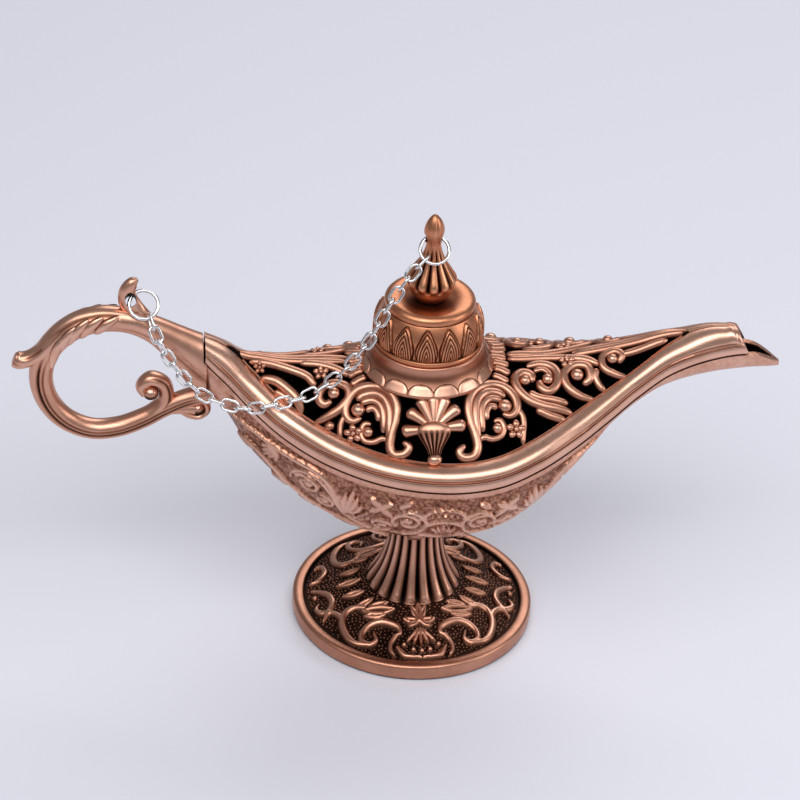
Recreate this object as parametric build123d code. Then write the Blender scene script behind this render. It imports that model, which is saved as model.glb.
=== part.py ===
from build123d import *
import os
from math import cos, pi, radians, sin

os.makedirs("parts", exist_ok=True)

# Genie lamp, millimetres. The foot stands on z = 0 with its centre at the origin.
# The spout points to +X, the handle to -X, and the side with the chain looks to -Y.

# Foot and stem
FOOT_RADIUS = 32.2
FOOT_EDGE = 4.4
FOOT_RIM = 2.8
FOOT_SINK = 0.8
FOOT_GROUND_RISE = 2.4
FOOT_RECESS = 2.0
FOOT_STAND = 3.2
STEM_BOTTOM_RADIUS = 12.6
STEM_WAIST_RADIUS = 7.4
STEM_TOP_RADIUS = 8.6
STEM_TOP_Z = 30.0
STEM_FLUTES = 18
FLUTE_BULGE = 0.8

# Screw that holds the foot to the bowl
SCREW_RADIUS = 2.0
SCREW_HEAD_RADIUS = 3.5
SCREW_HEAD_HEIGHT = 2.6
SCREW_CLEARANCE = 0.2
SCREW_GRIP = 6.0
DRIVE_RADIUS = 1.5
DRIVE_DEPTH = 1.4
WASHER_RADIUS = 4.6
WASHER_THICKNESS = 1.0
WASHER_SEAT_Z = 9.0
BOSS_WALL = 2.6

# Boat-shaped body, seen from above and from the side
BODY_MID_X = 3.0
BODY_BACK = 60.5
BODY_SPOUT = 89.9
BODY_HALF_WIDTH = 32.5
SEAM_Z = 60.8
SEAM_RISE = 22.4
BOWL_DEPTH = 29.5
KEEL_RISE = 45.6
BOWL_WALL = 1.8
BOWL_END_WALL = 3.0

# Pierced cover: rim moulding, opening, scrollwork deck and collar
LIP_Z = 66.8
LIP_RISE = 22.5
OPENING_MID_X = 5.0
OPENING_BACK = 54.1
OPENING_FRONT = 62.9
OPENING_HALF_WIDTH = 26.9
LEDGE_HEIGHT = 2.4
LEDGE_STEP = 0.5
COVER_WALL = 2.3
LIP_THICKNESS = 3.0
SEAM_GAP = 0.2
SPOUT_CUT_X = 84.0
SPOUT_CUT_LEAN = 28.0
DECK_THICKNESS = 1.4
DECK_INSET = 0.5
DECK_EDGE_DROP = 1.0
DECK_APEX_Z = 86.5
COLLAR_RADIUS = 17.4
COLLAR_TOP_RADIUS = 14.7
COLLAR_BORE = 11.8
COLLAR_BOTTOM_Z = 79.2
COLLAR_TOP_Z = 87.3
COLLAR_LIP = 1.9
SCALLOPS = 16
SCALLOP_RADIUS = 3.1
SCALLOP_THICKNESS = 1.4
SCALLOP_LEAN = 50.0

# Lift-off lid and finial
LID_RADIUS = 14.3
LID_HEIGHT = 13.3
LID_WALL = 1.8
LID_BEAD = 1.5
LID_SHOULDER_RADIUS = 11.5
PLUG_CLEARANCE = 0.3
PLUG_WALL = 1.4
PLUG_DEPTH = 4.5
FINIAL_HEIGHT = 25.2
FINIAL_RADIUS = 6.4
FINIAL_NECK_RADIUS = 2.0
FINIAL_BUD_RADIUS = 2.55
FINIAL_FLUTES = 12
FINIAL_FLUTE_BULGE = 0.6
TENON_RADIUS = 2.0
TENON_CLEARANCE = 0.15
NUT_RADIUS = 3.6
NUT_THICKNESS = 2.4
LID_EYE_DROP = 6.9
LID_EYE_RADIUS = 1.25

# Handle
HANDLE_X = BODY_MID_X - BODY_BACK
HANDLE_SLIT = 0.5
HANDLE_EYE_X = -76.5
HANDLE_EYE_Z = 99.8
HANDLE_EYE_RADIUS = 1.45
HANDLE_EYE_TILT = 45.0

# Chain
WIRE = 0.75
LINK_LENGTH = 5.32
LINK_WIDTH = 3.5
LINK_GAP = 0.25
LINK_COUNT = 29
LINK_TWIST = 28.0
LAST_LINK_SLACK = 0.4
RING_WIRE = 0.95
RING_RADIUS = 3.7
RING_SET = 0.3
HANDLE_RING_SAG = 15.0
LID_RING_LEAN = 50.0
HANDLE_HANG = -65.0
LID_HANG = 226.0

# Lines of the body. The first number runs from -1 at the handle over 0 at the
# widest place to 1 at the spout's tip, the second is a share of the size above.
WIDTH_LINE = [
    (-1.0, 0.154), (-0.9, 0.225), (-0.8, 0.327), (-0.66, 0.49), (-0.48, 0.719), (-0.25, 0.915), (0.0, 1.0),
    (0.15, 0.966), (0.27, 0.853), (0.38, 0.671), (0.48, 0.499), (0.57, 0.348), (0.67, 0.238), (0.8, 0.161),
    (0.92, 0.112), (0.97, 0.07), (1.0, 0.015),
]
SEAM_LINE = [
    (-1.0, 1.0), (-0.9, 0.752), (-0.8, 0.502), (-0.66, 0.255), (-0.48, 0.114), (-0.25, 0.03), (0.0, 0.0),
    (0.15, 0.032), (0.27, 0.143), (0.38, 0.271), (0.48, 0.448), (0.57, 0.63), (0.67, 0.834), (0.8, 0.963),
    (0.92, 0.967), (1.0, 0.789),
]
KEEL_LINE = [
    (-1.0, 0.945), (-0.9, 0.751), (-0.8, 0.509), (-0.66, 0.313), (-0.48, 0.152), (-0.25, 0.028), (0.0, 0.0),
    (0.15, 0.08), (0.27, 0.239), (0.38, 0.48), (0.48, 0.755), (0.57, 0.874), (0.67, 0.938), (0.8, 0.985),
    (0.92, 1.004), (1.0, 1.0),
]
LIP_LINE = [
    (-1.0, 1.0), (-0.9, 0.852), (-0.8, 0.607), (-0.66, 0.325), (-0.48, 0.149), (-0.25, 0.035), (0.0, 0.0),
    (0.15, 0.041), (0.27, 0.168), (0.38, 0.316), (0.48, 0.486), (0.57, 0.656), (0.67, 0.87), (0.8, 1.026),
    (0.92, 0.935), (1.0, 0.816),
]
# Plan of the pierced opening, and height of the deck's ridge over its lip
OPENING_LINE = [
    (-1.0, 0.0), (-0.93, 0.09), (-0.86, 0.182), (-0.72, 0.39), (-0.5, 0.695), (-0.25, 0.918), (0.0, 1.0),
    (0.17, 0.952), (0.355, 0.777), (0.55, 0.509), (0.735, 0.294), (0.92, 0.085), (1.0, 0.0),
]
RIDGE_LINE = [
    (-1.0, 0.0), (-0.83, 0.3), (-0.65, 0.505), (-0.41, 0.67), (-0.09, 1.0), (0.2, 0.69), (0.4, 0.49),
    (0.64, 0.295), (0.87, 0.117), (1.0, 0.0),
]
BODY_STATIONS = [
    -1.0, -0.9, -0.8, -0.66, -0.48, -0.25, 0.0, 0.15, 0.27, 0.38, 0.48, 0.57, 0.67, 0.8, 0.92, 1.0,
]
COVER_STATIONS = BODY_STATIONS[:-1]
DECK_STATIONS = [-0.97, -0.86, -0.72, -0.5, -0.3, -0.09, 0.1, 0.25, 0.4, 0.55, 0.735, 0.88, 0.97]

# Scrollwork seen from above, front half. An arc is start, middle, end and width.
SCROLLS_BOTH_SIDES = [
    ((11.9, -31.0), (11.4, -23.2), (9.2, -18.4), 2.3),
    ((9.2, -18.4), (13.2, -9.8), (20.3, -12.2), 2.3),
    ((20.3, -12.2), (21.2, -15.2), (18.9, -17.1), 2.0),
    ((11.7, -18.4), (12.6, -13.3), (17.6, -12.4), 2.4),
    ((10.3, -20.6), (13.2, -23.1), (17.0, -21.1), 1.9),
    ((20.8, -15.1), (22.4, -17.2), (21.5, -19.8), 1.5),
    ((21.4, -20.4), (22.4, -24.0), (24.4, -30.0), 1.9),
    ((6.2, -26.4), (7.6, -25.0), (11.0, -26.0), 1.7),
]
SCROLLS_SPOUT_SIDE = [
    ((24.1, -12.3), (28.2, -15.5), (38.5, -19.8), 2.7),
    ((36.4, -11.0), (41.0, -12.2), (50.0, -14.6), 2.3),
    ((14.0, -2.6), (19.0, -4.3), (23.7, -7.2), 2.0),
    ((23.6, -3.5), (29.5, -1.0), (36.5, -2.0), 2.3),
    ((41.4, -6.4), (43.5, -4.1), (46.4, -2.3), 1.9),
    ((46.0, -6.8), (51.0, -7.7), (59.0, -9.5), 1.9),
    ((38.5, -1.2), (48.0, -1.7), (70.0, -0.1), 1.9),
]
SCROLLS_HANDLE_SIDE = [
    ((-24.0, -14.1), (-27.6, -15.6), (-32.5, -21.0), 2.3),
    ((-30.2, -9.8), (-35.2, -7.6), (-44.0, -11.0), 2.3),
    ((-14.0, -2.6), (-19.5, -4.8), (-25.5, -8.1), 2.1),
    ((-21.5, -4.3), (-28.0, -1.3), (-34.0, -2.8), 2.1),
    ((-37.0, -2.4), (-43.0, -1.2), (-52.0, -0.2), 1.8),
]
# Scroll rings as centre, radius and width, and balls and flowers as centre and radius
RINGS = [
    ((27.8, -9.7), 4.4, 2.1),
    ((38.3, -7.9), 3.6, 2.0),
    ((47.6, -4.3), 2.6, 1.8),
    ((-26.7, -11.2), 3.9, 2.1),
    ((-36.4, -4.3), 2.6, 1.8),
]
BALLS_BOTH_SIDES = [
    ((18.6, -15.8), 2.0),
    ((15.5, -20.5), 1.8),
    ((21.4, -20.4), 2.7),
]
BALLS_ONE_SIDE = [
    ((25.6, -9.9), 1.8),
    ((30.0, -10.0), 1.7),
    ((36.4, -8.0), 1.5),
    ((40.0, -8.3), 1.5),
    ((46.4, -4.5), 1.3),
    ((22.0, -3.3), 2.6),
    ((37.2, -2.9), 2.4),
    ((-28.4, -11.0), 1.8),
    ((-25.1, -11.4), 1.8),
    ((-36.4, -4.3), 2.1),
]
PALMETTE_Y = -22.2
PALMETTE_PETALS = 7
PALMETTE_SPREAD = 25.0
PETAL_REACH = 4.4
PETAL_LENGTH = 2.5
PETAL_WIDTH = 1.2
SHELL_Y = -23.1
SHELL_SIZE = (4.1, 3.0)
SHELL_FOOT = ((0.0, -27.6), 2.2)

# Handle strands in the middle plane: x, z, half height and half width of each section
LOOP = [
    (-56.5, 80.8, 8.2, 5.6), (-60.8, 83.9, 6.3, 4.8), (-65.5, 87.7, 4.7, 4.0), (-71.0, 91.5, 3.6, 3.4),
    (-77.5, 94.2, 3.3, 3.2), (-85.0, 94.3, 3.3, 3.1), (-92.3, 91.2, 3.3, 3.0), (-97.4, 85.4, 3.2, 3.0),
    (-99.3, 77.6, 3.1, 2.9), (-97.6, 70.0, 3.0, 2.9), (-93.0, 64.0, 2.9, 2.8), (-86.4, 60.8, 2.8, 2.8),
    (-79.4, 61.2, 2.7, 2.7), (-73.0, 63.8, 2.6, 2.7), (-67.4, 67.1, 2.5, 2.6), (-61.5, 69.9, 2.5, 2.6),
    (-54.0, 71.6, 2.6, 2.6),
]
HOOK = [
    (-69.5, 91.8, 1.6, 1.6), (-73.4, 95.2, 2.3, 1.8), (-76.6, 99.2, 2.7, 1.4), (-77.4, 102.6, 2.2, 1.7),
    (-76.2, 105.4, 1.6, 1.5), (-74.9, 106.5, 0.6, 0.6),
]
LEAF_TIP = [
    (-95.5, 87.8, 2.4, 2.2), (-99.6, 85.0, 2.6, 2.6), (-103.2, 83.0, 2.3, 2.4), (-105.8, 83.2, 1.8, 1.8),
    (-106.7, 83.8, 0.7, 0.8),
]
CURL = [
    (-78.0, 62.3, 1.6, 2.2), (-71.6, 65.2, 2.0, 2.4), (-67.5, 69.4, 2.0, 2.5), (-67.6, 74.2, 1.9, 2.5),
    (-71.0, 76.2, 1.8, 2.4), (-73.6, 74.0, 1.5, 2.2), (-73.0, 71.6, 1.0, 1.9),
]
CURL_BALL = ((-71.2, 72.0), 2.1)
BUD_STRAND = [(-66.0, 66.6, 1.4, 2.0), (-62.3, 67.0, 1.8, 2.2), (-59.6, 66.6, 1.7, 2.0)]
BUD = ((-58.9, 66.9), 2.4)

# Way of the chain from the ring on the handle to the ring on the lid
CHAIN_ROUTE = [
    (-70.2, -6.1, 93.2), (-68.0, -7.0, 88.8), (-64.4, -7.5, 83.2), (-61.0, -7.8, 78.9), (-57.7, -8.6, 76.4),
    (-53.2, -9.7, 74.9), (-47.4, -11.8, 74.6), (-42.2, -13.2, 76.3), (-36.1, -12.0, 76.9),
    (-32.2, -11.4, 77.7), (-28.4, -10.4, 79.5), (-24.5, -10.0, 82.4), (-19.8, -9.4, 87.5),
    (-15.2, -8.8, 94.8), (-11.7, -7.6, 101.7), (-7.4, -6.2, 108.6),
]


def through(line, at):
    """Height at one place of a smooth curve through the points of a line."""
    last = len(line) - 1
    first = 0
    while first < last - 1 and at > line[first + 1][0]:
        first += 1

    def slope(point):
        before = line[max(point - 1, 0)]
        after = line[min(point + 1, last)]
        return (after[1] - before[1]) / (after[0] - before[0])

    x0, y0 = line[first]
    x1, y1 = line[first + 1]
    span = x1 - x0
    t = (at - x0) / span
    rise = t * t * (3 - 2 * t)
    return (
        y0 + (y1 - y0) * rise
        + span * slope(first) * t * (1 - t) ** 2
        - span * slope(first + 1) * t * t * (1 - t)
    )


# Body lines as sizes
def body_x(place):
    return BODY_MID_X + place * (BODY_SPOUT if place > 0 else BODY_BACK)


def body_place(x):
    return (x - BODY_MID_X) / (BODY_SPOUT if x > BODY_MID_X else BODY_BACK)


def half_width(place):
    return BODY_HALF_WIDTH * through(WIDTH_LINE, place)


def seam_z(place):
    return SEAM_Z + SEAM_RISE * through(SEAM_LINE, place)


def keel_z(place):
    return SEAM_Z - BOWL_DEPTH + KEEL_RISE * through(KEEL_LINE, place)


def lip_z(place):
    return LIP_Z + LIP_RISE * through(LIP_LINE, place)


def opening_x(place):
    return OPENING_MID_X + place * (OPENING_FRONT if place > 0 else OPENING_BACK)


def opening_place(x):
    return (x - OPENING_MID_X) / (OPENING_FRONT if x > OPENING_MID_X else OPENING_BACK)


def opening_half_width(place):
    if abs(place) >= 1.0:
        return 0.0
    return OPENING_HALF_WIDTH * through(OPENING_LINE, place)


def ridge_z(place):
    lip = lip_z(body_place(opening_x(place)))
    return lip + (DECK_APEX_Z - LIP_Z) * through(RIDGE_LINE, place)


# Cross sections of the body, each a face square to X
def closed_face(edges):
    return Face(Wire(edges))


def bowl_section(place, inset=0.0, top=0.0):
    """A half-oval hull section; inset thins it all round and top lifts its upper edge."""
    x = body_x(place)
    wide = max(half_width(place) - inset, 0.4)
    high = seam_z(place)
    low = min(keel_z(place) + inset, high - 0.4)
    pull = 0.56
    belly = high - (high - low) * pull
    side = wide * pull
    right = Bezier((x, wide, high), (x, wide, belly), (x, side, low), (x, 0, low))
    left = Bezier((x, 0, low), (x, -side, low), (x, -wide, belly), (x, -wide, high))
    if top == 0.0:
        return closed_face([right, left, Line((x, -wide, high), (x, wide, high))])
    over = high + top
    return closed_face([
        right,
        left,
        Line((x, -wide, high), (x, -wide, over)),
        Line((x, -wide, over), (x, wide, over)),
        Line((x, wide, over), (x, wide, high)),
    ])


def cover_section(place):
    """Outer shape of the cover: ledge, step, rounded moulding and the level of the lip."""
    x = body_x(place)
    wide = half_width(place)
    base = seam_z(place) + SEAM_GAP
    ledge = base + LEDGE_HEIGHT
    inner = max(opening_half_width(opening_place(x)), 1.0)
    lip = lip_z(place)
    start = wide - LEDGE_STEP
    crown_out = inner + (start - inner) * 0.85
    crown_in = inner + (start - inner) * 0.4

    def side(sign):
        return [
            Line((x, sign * wide, base), (x, sign * wide, ledge)),
            Line((x, sign * wide, ledge), (x, sign * start, ledge + LEDGE_STEP)),
            Bezier(
                (x, sign * start, ledge + LEDGE_STEP),
                (x, sign * crown_out, ledge + LEDGE_STEP + (lip - ledge) * 0.75),
                (x, sign * crown_in, lip),
                (x, sign * inner, lip),
            ),
        ]

    return closed_face(
        side(1) + side(-1)
        + [Line((x, inner, lip), (x, -inner, lip)), Line((x, -wide, base), (x, wide, base))]
    )


def cover_hollow_section(place):
    """Space under the cover, open downwards."""
    x = body_x(place)
    wide = max(half_width(place) - min(COVER_WALL, 0.4 * half_width(place)), 0.8)
    base = seam_z(place) - LEDGE_HEIGHT
    ledge = seam_z(place) + LEDGE_HEIGHT
    lip = lip_z(place) - LIP_THICKNESS
    inner = min(max(opening_half_width(opening_place(x)) - LIP_THICKNESS, 0.5), wide - 0.2)
    return closed_face([
        Line((x, wide, base), (x, wide, ledge)),
        Line((x, wide, ledge), (x, inner, lip)),
        Line((x, inner, lip), (x, -inner, lip)),
        Line((x, -inner, lip), (x, -wide, ledge)),
        Line((x, -wide, ledge), (x, -wide, base)),
        Line((x, -wide, base), (x, wide, base)),
    ])


def deck_section(place):
    """Strip of the arched deck that carries the scrollwork, a little into the rim."""
    x = opening_x(place)
    wide = opening_half_width(place) + DECK_INSET
    edge = lip_z(body_place(x)) - DECK_EDGE_DROP
    peak = 2 * ridge_z(place) - edge
    drop = DECK_THICKNESS

    def arch(lower):
        return Bezier((x, -wide, edge - lower), (x, 0, peak - lower), (x, wide, edge - lower))

    return closed_face([
        arch(0),
        Line((x, wide, edge), (x, wide, edge - drop)),
        arch(drop),
        Line((x, -wide, edge - drop), (x, -wide, edge)),
    ])


# Bowl: hollow hull with a pad under it and a threaded boss inside
def make_bowl():
    hull = loft([bowl_section(place) for place in BODY_STATIONS])
    inner_places = [-1.0 + BOWL_END_WALL / BODY_BACK] + BODY_STATIONS[1:-1] + [1.0]
    hollow = loft([bowl_section(place, BOWL_WALL, 2.0) for place in inner_places])
    bottom_z = SEAM_Z - BOWL_DEPTH
    pad_height = bottom_z + BOWL_WALL - STEM_TOP_Z
    pad = Pos(0, 0, STEM_TOP_Z) * Cylinder(
        STEM_TOP_RADIUS, pad_height + 1.0, align=(Align.CENTER, Align.CENTER, Align.MIN)
    )
    boss = Pos(0, 0, STEM_TOP_Z) * Cylinder(
        SCREW_RADIUS + BOSS_WALL, SCREW_GRIP + BOSS_WALL, align=(Align.CENTER, Align.CENTER, Align.MIN)
    )
    thread = Pos(0, 0, STEM_TOP_Z) * Cylinder(
        SCREW_RADIUS, SCREW_GRIP, align=(Align.CENTER, Align.CENTER, Align.MIN)
    )
    return hull, (hull - hollow + pad + boss - thread)


# Foot: turned disc with a fluted stem and a recess underneath
def fluted_ring(radius, z, count, bulge):
    """Outline of a fluted stem: one outward arc for each flute."""
    step = 2 * pi / count
    edges = []
    for flute in range(count):
        start = flute * step
        ends = [(radius * cos(a), radius * sin(a), z) for a in (start, start + step)]
        middle = start + step / 2
        top = ((radius + bulge) * cos(middle), (radius + bulge) * sin(middle), z)
        edges.append(ThreePointArc(ends[0], top, ends[1]))
    return Face(Wire(edges))


def make_foot():
    ground_z = FOOT_EDGE - FOOT_SINK
    stem_z = ground_z + FOOT_GROUND_RISE
    stand_in = FOOT_RADIUS - FOOT_STAND
    profile = Polyline(
        (0, stem_z), (STEM_BOTTOM_RADIUS, stem_z), (FOOT_RADIUS - FOOT_RIM - FOOT_SINK, ground_z),
        (FOOT_RADIUS - FOOT_RIM, FOOT_EDGE), (FOOT_RADIUS - 0.6, FOOT_EDGE), (FOOT_RADIUS, FOOT_EDGE - 0.6),
        (FOOT_RADIUS, 0.4), (FOOT_RADIUS - 0.4, 0), (stand_in, 0), (stand_in - FOOT_RECESS, FOOT_RECESS),
        (0, FOOT_RECESS), close=True,
    )
    disc = revolve(make_face(Plane.XZ * profile), Axis.Z)
    rise = STEM_TOP_Z - stem_z
    waist = STEM_WAIST_RADIUS
    flare = STEM_BOTTOM_RADIUS - waist
    stem = loft([
        fluted_ring(waist + flare, stem_z - 1.0, STEM_FLUTES, FLUTE_BULGE),
        fluted_ring(waist + flare * 0.62, stem_z + rise * 0.14, STEM_FLUTES, FLUTE_BULGE),
        fluted_ring(waist + flare * 0.18, stem_z + rise * 0.42, STEM_FLUTES, FLUTE_BULGE),
        fluted_ring(waist, stem_z + rise * 0.7, STEM_FLUTES, FLUTE_BULGE),
        fluted_ring(STEM_TOP_RADIUS - FLUTE_BULGE, STEM_TOP_Z, STEM_FLUTES, FLUTE_BULGE),
    ])
    bore = Cylinder(SCREW_RADIUS + SCREW_CLEARANCE, 2 * STEM_TOP_Z + 10)
    pocket = Cylinder(
        WASHER_RADIUS + SCREW_CLEARANCE, WASHER_SEAT_Z, align=(Align.CENTER, Align.CENTER, Align.MIN)
    )
    return disc + stem - bore - pocket


def make_washer():
    place = Pos(0, 0, WASHER_SEAT_Z - WASHER_THICKNESS)
    up = (Align.CENTER, Align.CENTER, Align.MIN)
    plate = Cylinder(WASHER_RADIUS, WASHER_THICKNESS, align=up)
    return place * (plate - Cylinder(SCREW_RADIUS + SCREW_CLEARANCE, WASHER_THICKNESS, align=up))


def make_foot_screw():
    up = (Align.CENTER, Align.CENTER, Align.MIN)
    head_z = WASHER_SEAT_Z - WASHER_THICKNESS - SCREW_HEAD_HEIGHT
    length = STEM_TOP_Z + SCREW_GRIP - head_z - 0.5
    head = Cylinder(SCREW_HEAD_RADIUS, SCREW_HEAD_HEIGHT, align=up)
    shank = Cylinder(SCREW_RADIUS, length, align=up)
    drive = extrude(RegularPolygon(DRIVE_RADIUS, 6), DRIVE_DEPTH)
    return Pos(0, 0, head_z) * (head + shank - drive)


# Pierced cover
def cover_shell():
    return loft([cover_section(place) for place in COVER_STATIONS])


def make_rim():
    hollow = loft([cover_hollow_section(place) for place in COVER_STATIONS], ruled=True)
    front = [(opening_x(place), -opening_half_width(place)) for place, share in OPENING_LINE]
    back = [(x, -y) for x, y in reversed(front)]
    plan = make_face([Spline(*front).edge(), Spline(*back).edge()])
    opening = Pos(0, 0, SEAM_Z) * extrude(plan, LIP_RISE * 2)
    mouth = Pos(SPOUT_CUT_X, 0, SEAM_Z + SEAM_RISE) * Rot(0, -SPOUT_CUT_LEAN, 0) * Box(
        BODY_SPOUT, BODY_HALF_WIDTH, BODY_HALF_WIDTH * 2, align=(Align.MIN, Align.CENTER, Align.CENTER)
    )
    return cover_shell() - hollow - opening - mouth


def stroke(start, middle, end, width):
    return SlotArc(ThreePointArc(start, middle, end), width)


def mirrored(point, sign):
    return (point[0] * sign, point[1])


def scroll_plan():
    """All scrollwork seen from above, both halves."""
    faces = []
    for start, middle, end, width in SCROLLS_BOTH_SIDES:
        for sign in (1, -1):
            faces.append(stroke(mirrored(start, sign), mirrored(middle, sign), mirrored(end, sign), width))
    for start, middle, end, width in SCROLLS_SPOUT_SIDE + SCROLLS_HANDLE_SIDE:
        faces.append(stroke(start, middle, end, width))
    for centre, radius, width in RINGS:
        faces.append(Pos(*centre) * (Circle(radius + width / 2) - Circle(radius - width / 2)))
    for centre, radius in BALLS_BOTH_SIDES:
        for sign in (1, -1):
            faces.append(Pos(*mirrored(centre, sign)) * Circle(radius))
    for centre, radius in BALLS_ONE_SIDE:
        faces.append(Pos(*centre) * Circle(radius))
    for petal in range(PALMETTE_PETALS):
        turn = (petal - (PALMETTE_PETALS - 1) / 2) * PALMETTE_SPREAD
        petal_place = Pos(0, PALMETTE_Y) * Rot(0, 0, 90 + turn) * Pos(PETAL_REACH, 0)
        faces.append(petal_place * Ellipse(PETAL_LENGTH, PETAL_WIDTH))
    faces.append(Pos(0, SHELL_Y) * Ellipse(*SHELL_SIZE))
    faces.append(Pos(*SHELL_FOOT[0]) * Circle(SHELL_FOOT[1]))
    front = Sketch() + faces
    return front + mirror(front, Plane.XZ)


def make_collar():
    lip = COLLAR_BOTTOM_Z + COLLAR_LIP
    rise = COLLAR_TOP_Z - lip
    outline = [
        Line((COLLAR_BORE, COLLAR_BOTTOM_Z), (COLLAR_RADIUS - 0.4, COLLAR_BOTTOM_Z)),
        Line((COLLAR_RADIUS - 0.4, COLLAR_BOTTOM_Z), (COLLAR_RADIUS, lip - 0.6)),
        Line((COLLAR_RADIUS, lip - 0.6), (COLLAR_RADIUS - 0.3, lip)),
        Bezier(
            (COLLAR_RADIUS - 0.3, lip), (COLLAR_TOP_RADIUS + 0.9, lip + rise * 0.3),
            (COLLAR_TOP_RADIUS, lip + rise * 0.5), (COLLAR_TOP_RADIUS, COLLAR_TOP_Z - 0.3),
        ),
        Line((COLLAR_TOP_RADIUS, COLLAR_TOP_Z - 0.3), (COLLAR_TOP_RADIUS - 0.3, COLLAR_TOP_Z)),
        Line((COLLAR_TOP_RADIUS - 0.3, COLLAR_TOP_Z), (COLLAR_BORE, COLLAR_TOP_Z)),
        Line((COLLAR_BORE, COLLAR_TOP_Z), (COLLAR_BORE, COLLAR_BOTTOM_Z)),
    ]
    ring = revolve(Plane.XZ * make_face(outline), Axis.Z)
    flare = Pos((COLLAR_RADIUS + COLLAR_TOP_RADIUS) / 2, 0, lip + rise * 0.2)
    tab = flare * Rot(0, SCALLOP_LEAN, 0) * Cylinder(SCALLOP_RADIUS, SCALLOP_THICKNESS)
    for scallop in range(SCALLOPS):
        ring += Rot(0, 0, scallop * 360 / SCALLOPS) * tab
    return ring


def make_cover():
    rim = make_rim()
    deck = loft([deck_section(place) for place in DECK_STATIONS], ruled=True)
    prism = Pos(0, 0, SEAM_Z) * extrude(scroll_plan(), BODY_HALF_WIDTH)
    filigree = deck & prism
    bore = Pos(0, 0, SEAM_Z) * Cylinder(
        COLLAR_BORE, BODY_HALF_WIDTH, align=(Align.CENTER, Align.CENTER, Align.MIN)
    )
    return rim + (filigree - bore) + make_collar()


# Lid dome, finial and nut
def make_lid_dome():
    base = COLLAR_TOP_Z
    top = base + LID_HEIGHT
    plug_out = COLLAR_BORE - PLUG_CLEARANCE
    plug_in = plug_out - PLUG_WALL
    bead = base + LID_BEAD
    shoulder = top - 2.4
    edge = LID_SHOULDER_RADIUS
    seat = top - 1.0
    hole = TENON_RADIUS + TENON_CLEARANCE
    inside = LID_RADIUS - LID_WALL - 0.4
    outline = [
        Line((plug_out, base - PLUG_DEPTH), (plug_out, base)),
        Line((plug_out, base), (LID_RADIUS - 0.2, base)),
        Line((LID_RADIUS - 0.2, base), (LID_RADIUS, base + 0.3)),
        Line((LID_RADIUS, base + 0.3), (LID_RADIUS, bead - 0.3)),
        Line((LID_RADIUS, bead - 0.3), (LID_RADIUS - 0.6, bead)),
        Bezier(
            (LID_RADIUS - 0.6, bead), (LID_RADIUS + 0.5, bead + 3.2),
            (LID_RADIUS - 0.4, shoulder - 3.0), (edge + 0.3, shoulder),
        ),
        Line((edge + 0.3, shoulder), (edge - 0.1, shoulder + 0.2)),
        ThreePointArc((edge - 0.1, shoulder + 0.2), (edge - 0.2, top - 0.8), (edge - 1.9, top)),
        Line((edge - 1.9, top), (hole + 2.2, seat)),
        Line((hole + 2.2, seat), (hole, seat)),
        Line((hole, seat), (hole, seat - LID_WALL)),
        Line((hole, seat - LID_WALL), (edge - LID_WALL - 1.2, seat - LID_WALL)),
        Bezier(
            (edge - LID_WALL - 1.2, seat - LID_WALL), (edge - LID_WALL + 0.8, shoulder - 2.6),
            (inside, bead + 3.0), (plug_in, bead),
        ),
        Line((plug_in, bead), (plug_in, base - PLUG_DEPTH)),
        Line((plug_in, base - PLUG_DEPTH), (plug_out, base - PLUG_DEPTH)),
    ]
    return revolve(Plane.XZ * make_face(outline), Axis.Z)


def lid_seat_z():
    return COLLAR_TOP_Z + LID_HEIGHT - 1.0


def make_finial():
    foot = lid_seat_z()
    rise = FINIAL_HEIGHT - 3.0
    wide = FINIAL_RADIUS - FINIAL_FLUTE_BULGE
    neck = FINIAL_NECK_RADIUS

    def flutes(radius, share, bulge):
        return fluted_ring(radius, foot + rise * share, FINIAL_FLUTES, bulge)

    spire = loft([
        flutes(wide * 0.8, 0.13, 0.15),
        flutes(wide * 0.95, 0.2, FINIAL_FLUTE_BULGE * 0.8),
        flutes(wide, 0.28, FINIAL_FLUTE_BULGE),
        flutes(wide * 0.72, 0.42, FINIAL_FLUTE_BULGE * 0.8),
        flutes(wide * 0.47, 0.56, FINIAL_FLUTE_BULGE * 0.6),
        flutes(neck - 0.15, 0.71, 0.15),
    ])
    base_top = foot + rise * 0.16
    bud_z = foot + rise * 0.69
    tip = foot + FINIAL_HEIGHT
    base = revolve(Plane.XZ * make_face([
        Line((0, foot), (wide * 0.62, foot)),
        Bezier(
            (wide * 0.62, foot), (wide * 0.85, foot + 0.8),
            (wide * 0.95, base_top - 1.0), (wide * 0.85, base_top),
        ),
        Line((wide * 0.85, base_top), (0, base_top)),
        Line((0, base_top), (0, foot)),
    ]), Axis.Z)
    bud = revolve(Plane.XZ * make_face([
        Line((0, bud_z), (neck, bud_z)),
        Bezier(
            (neck, bud_z), (FINIAL_BUD_RADIUS * 1.05, bud_z + (tip - bud_z) * 0.35),
            (FINIAL_BUD_RADIUS * 1.25, bud_z + (tip - bud_z) * 0.72), (0.25, tip),
        ),
        Line((0.25, tip), (0, tip)),
        Line((0, tip), (0, bud_z)),
    ]), Axis.Z)
    tenon_length = LID_WALL + NUT_THICKNESS + 0.8
    tenon = Pos(0, 0, foot - tenon_length) * Cylinder(
        TENON_RADIUS, tenon_length + 1.0, align=(Align.CENTER, Align.CENTER, Align.MIN)
    )
    eye = Pos(0, 0, lid_eye().Z) * Rot(0, 90, 0) * Cylinder(LID_EYE_RADIUS, FINIAL_RADIUS * 2)
    return base + spire + bud + tenon - eye


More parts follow.
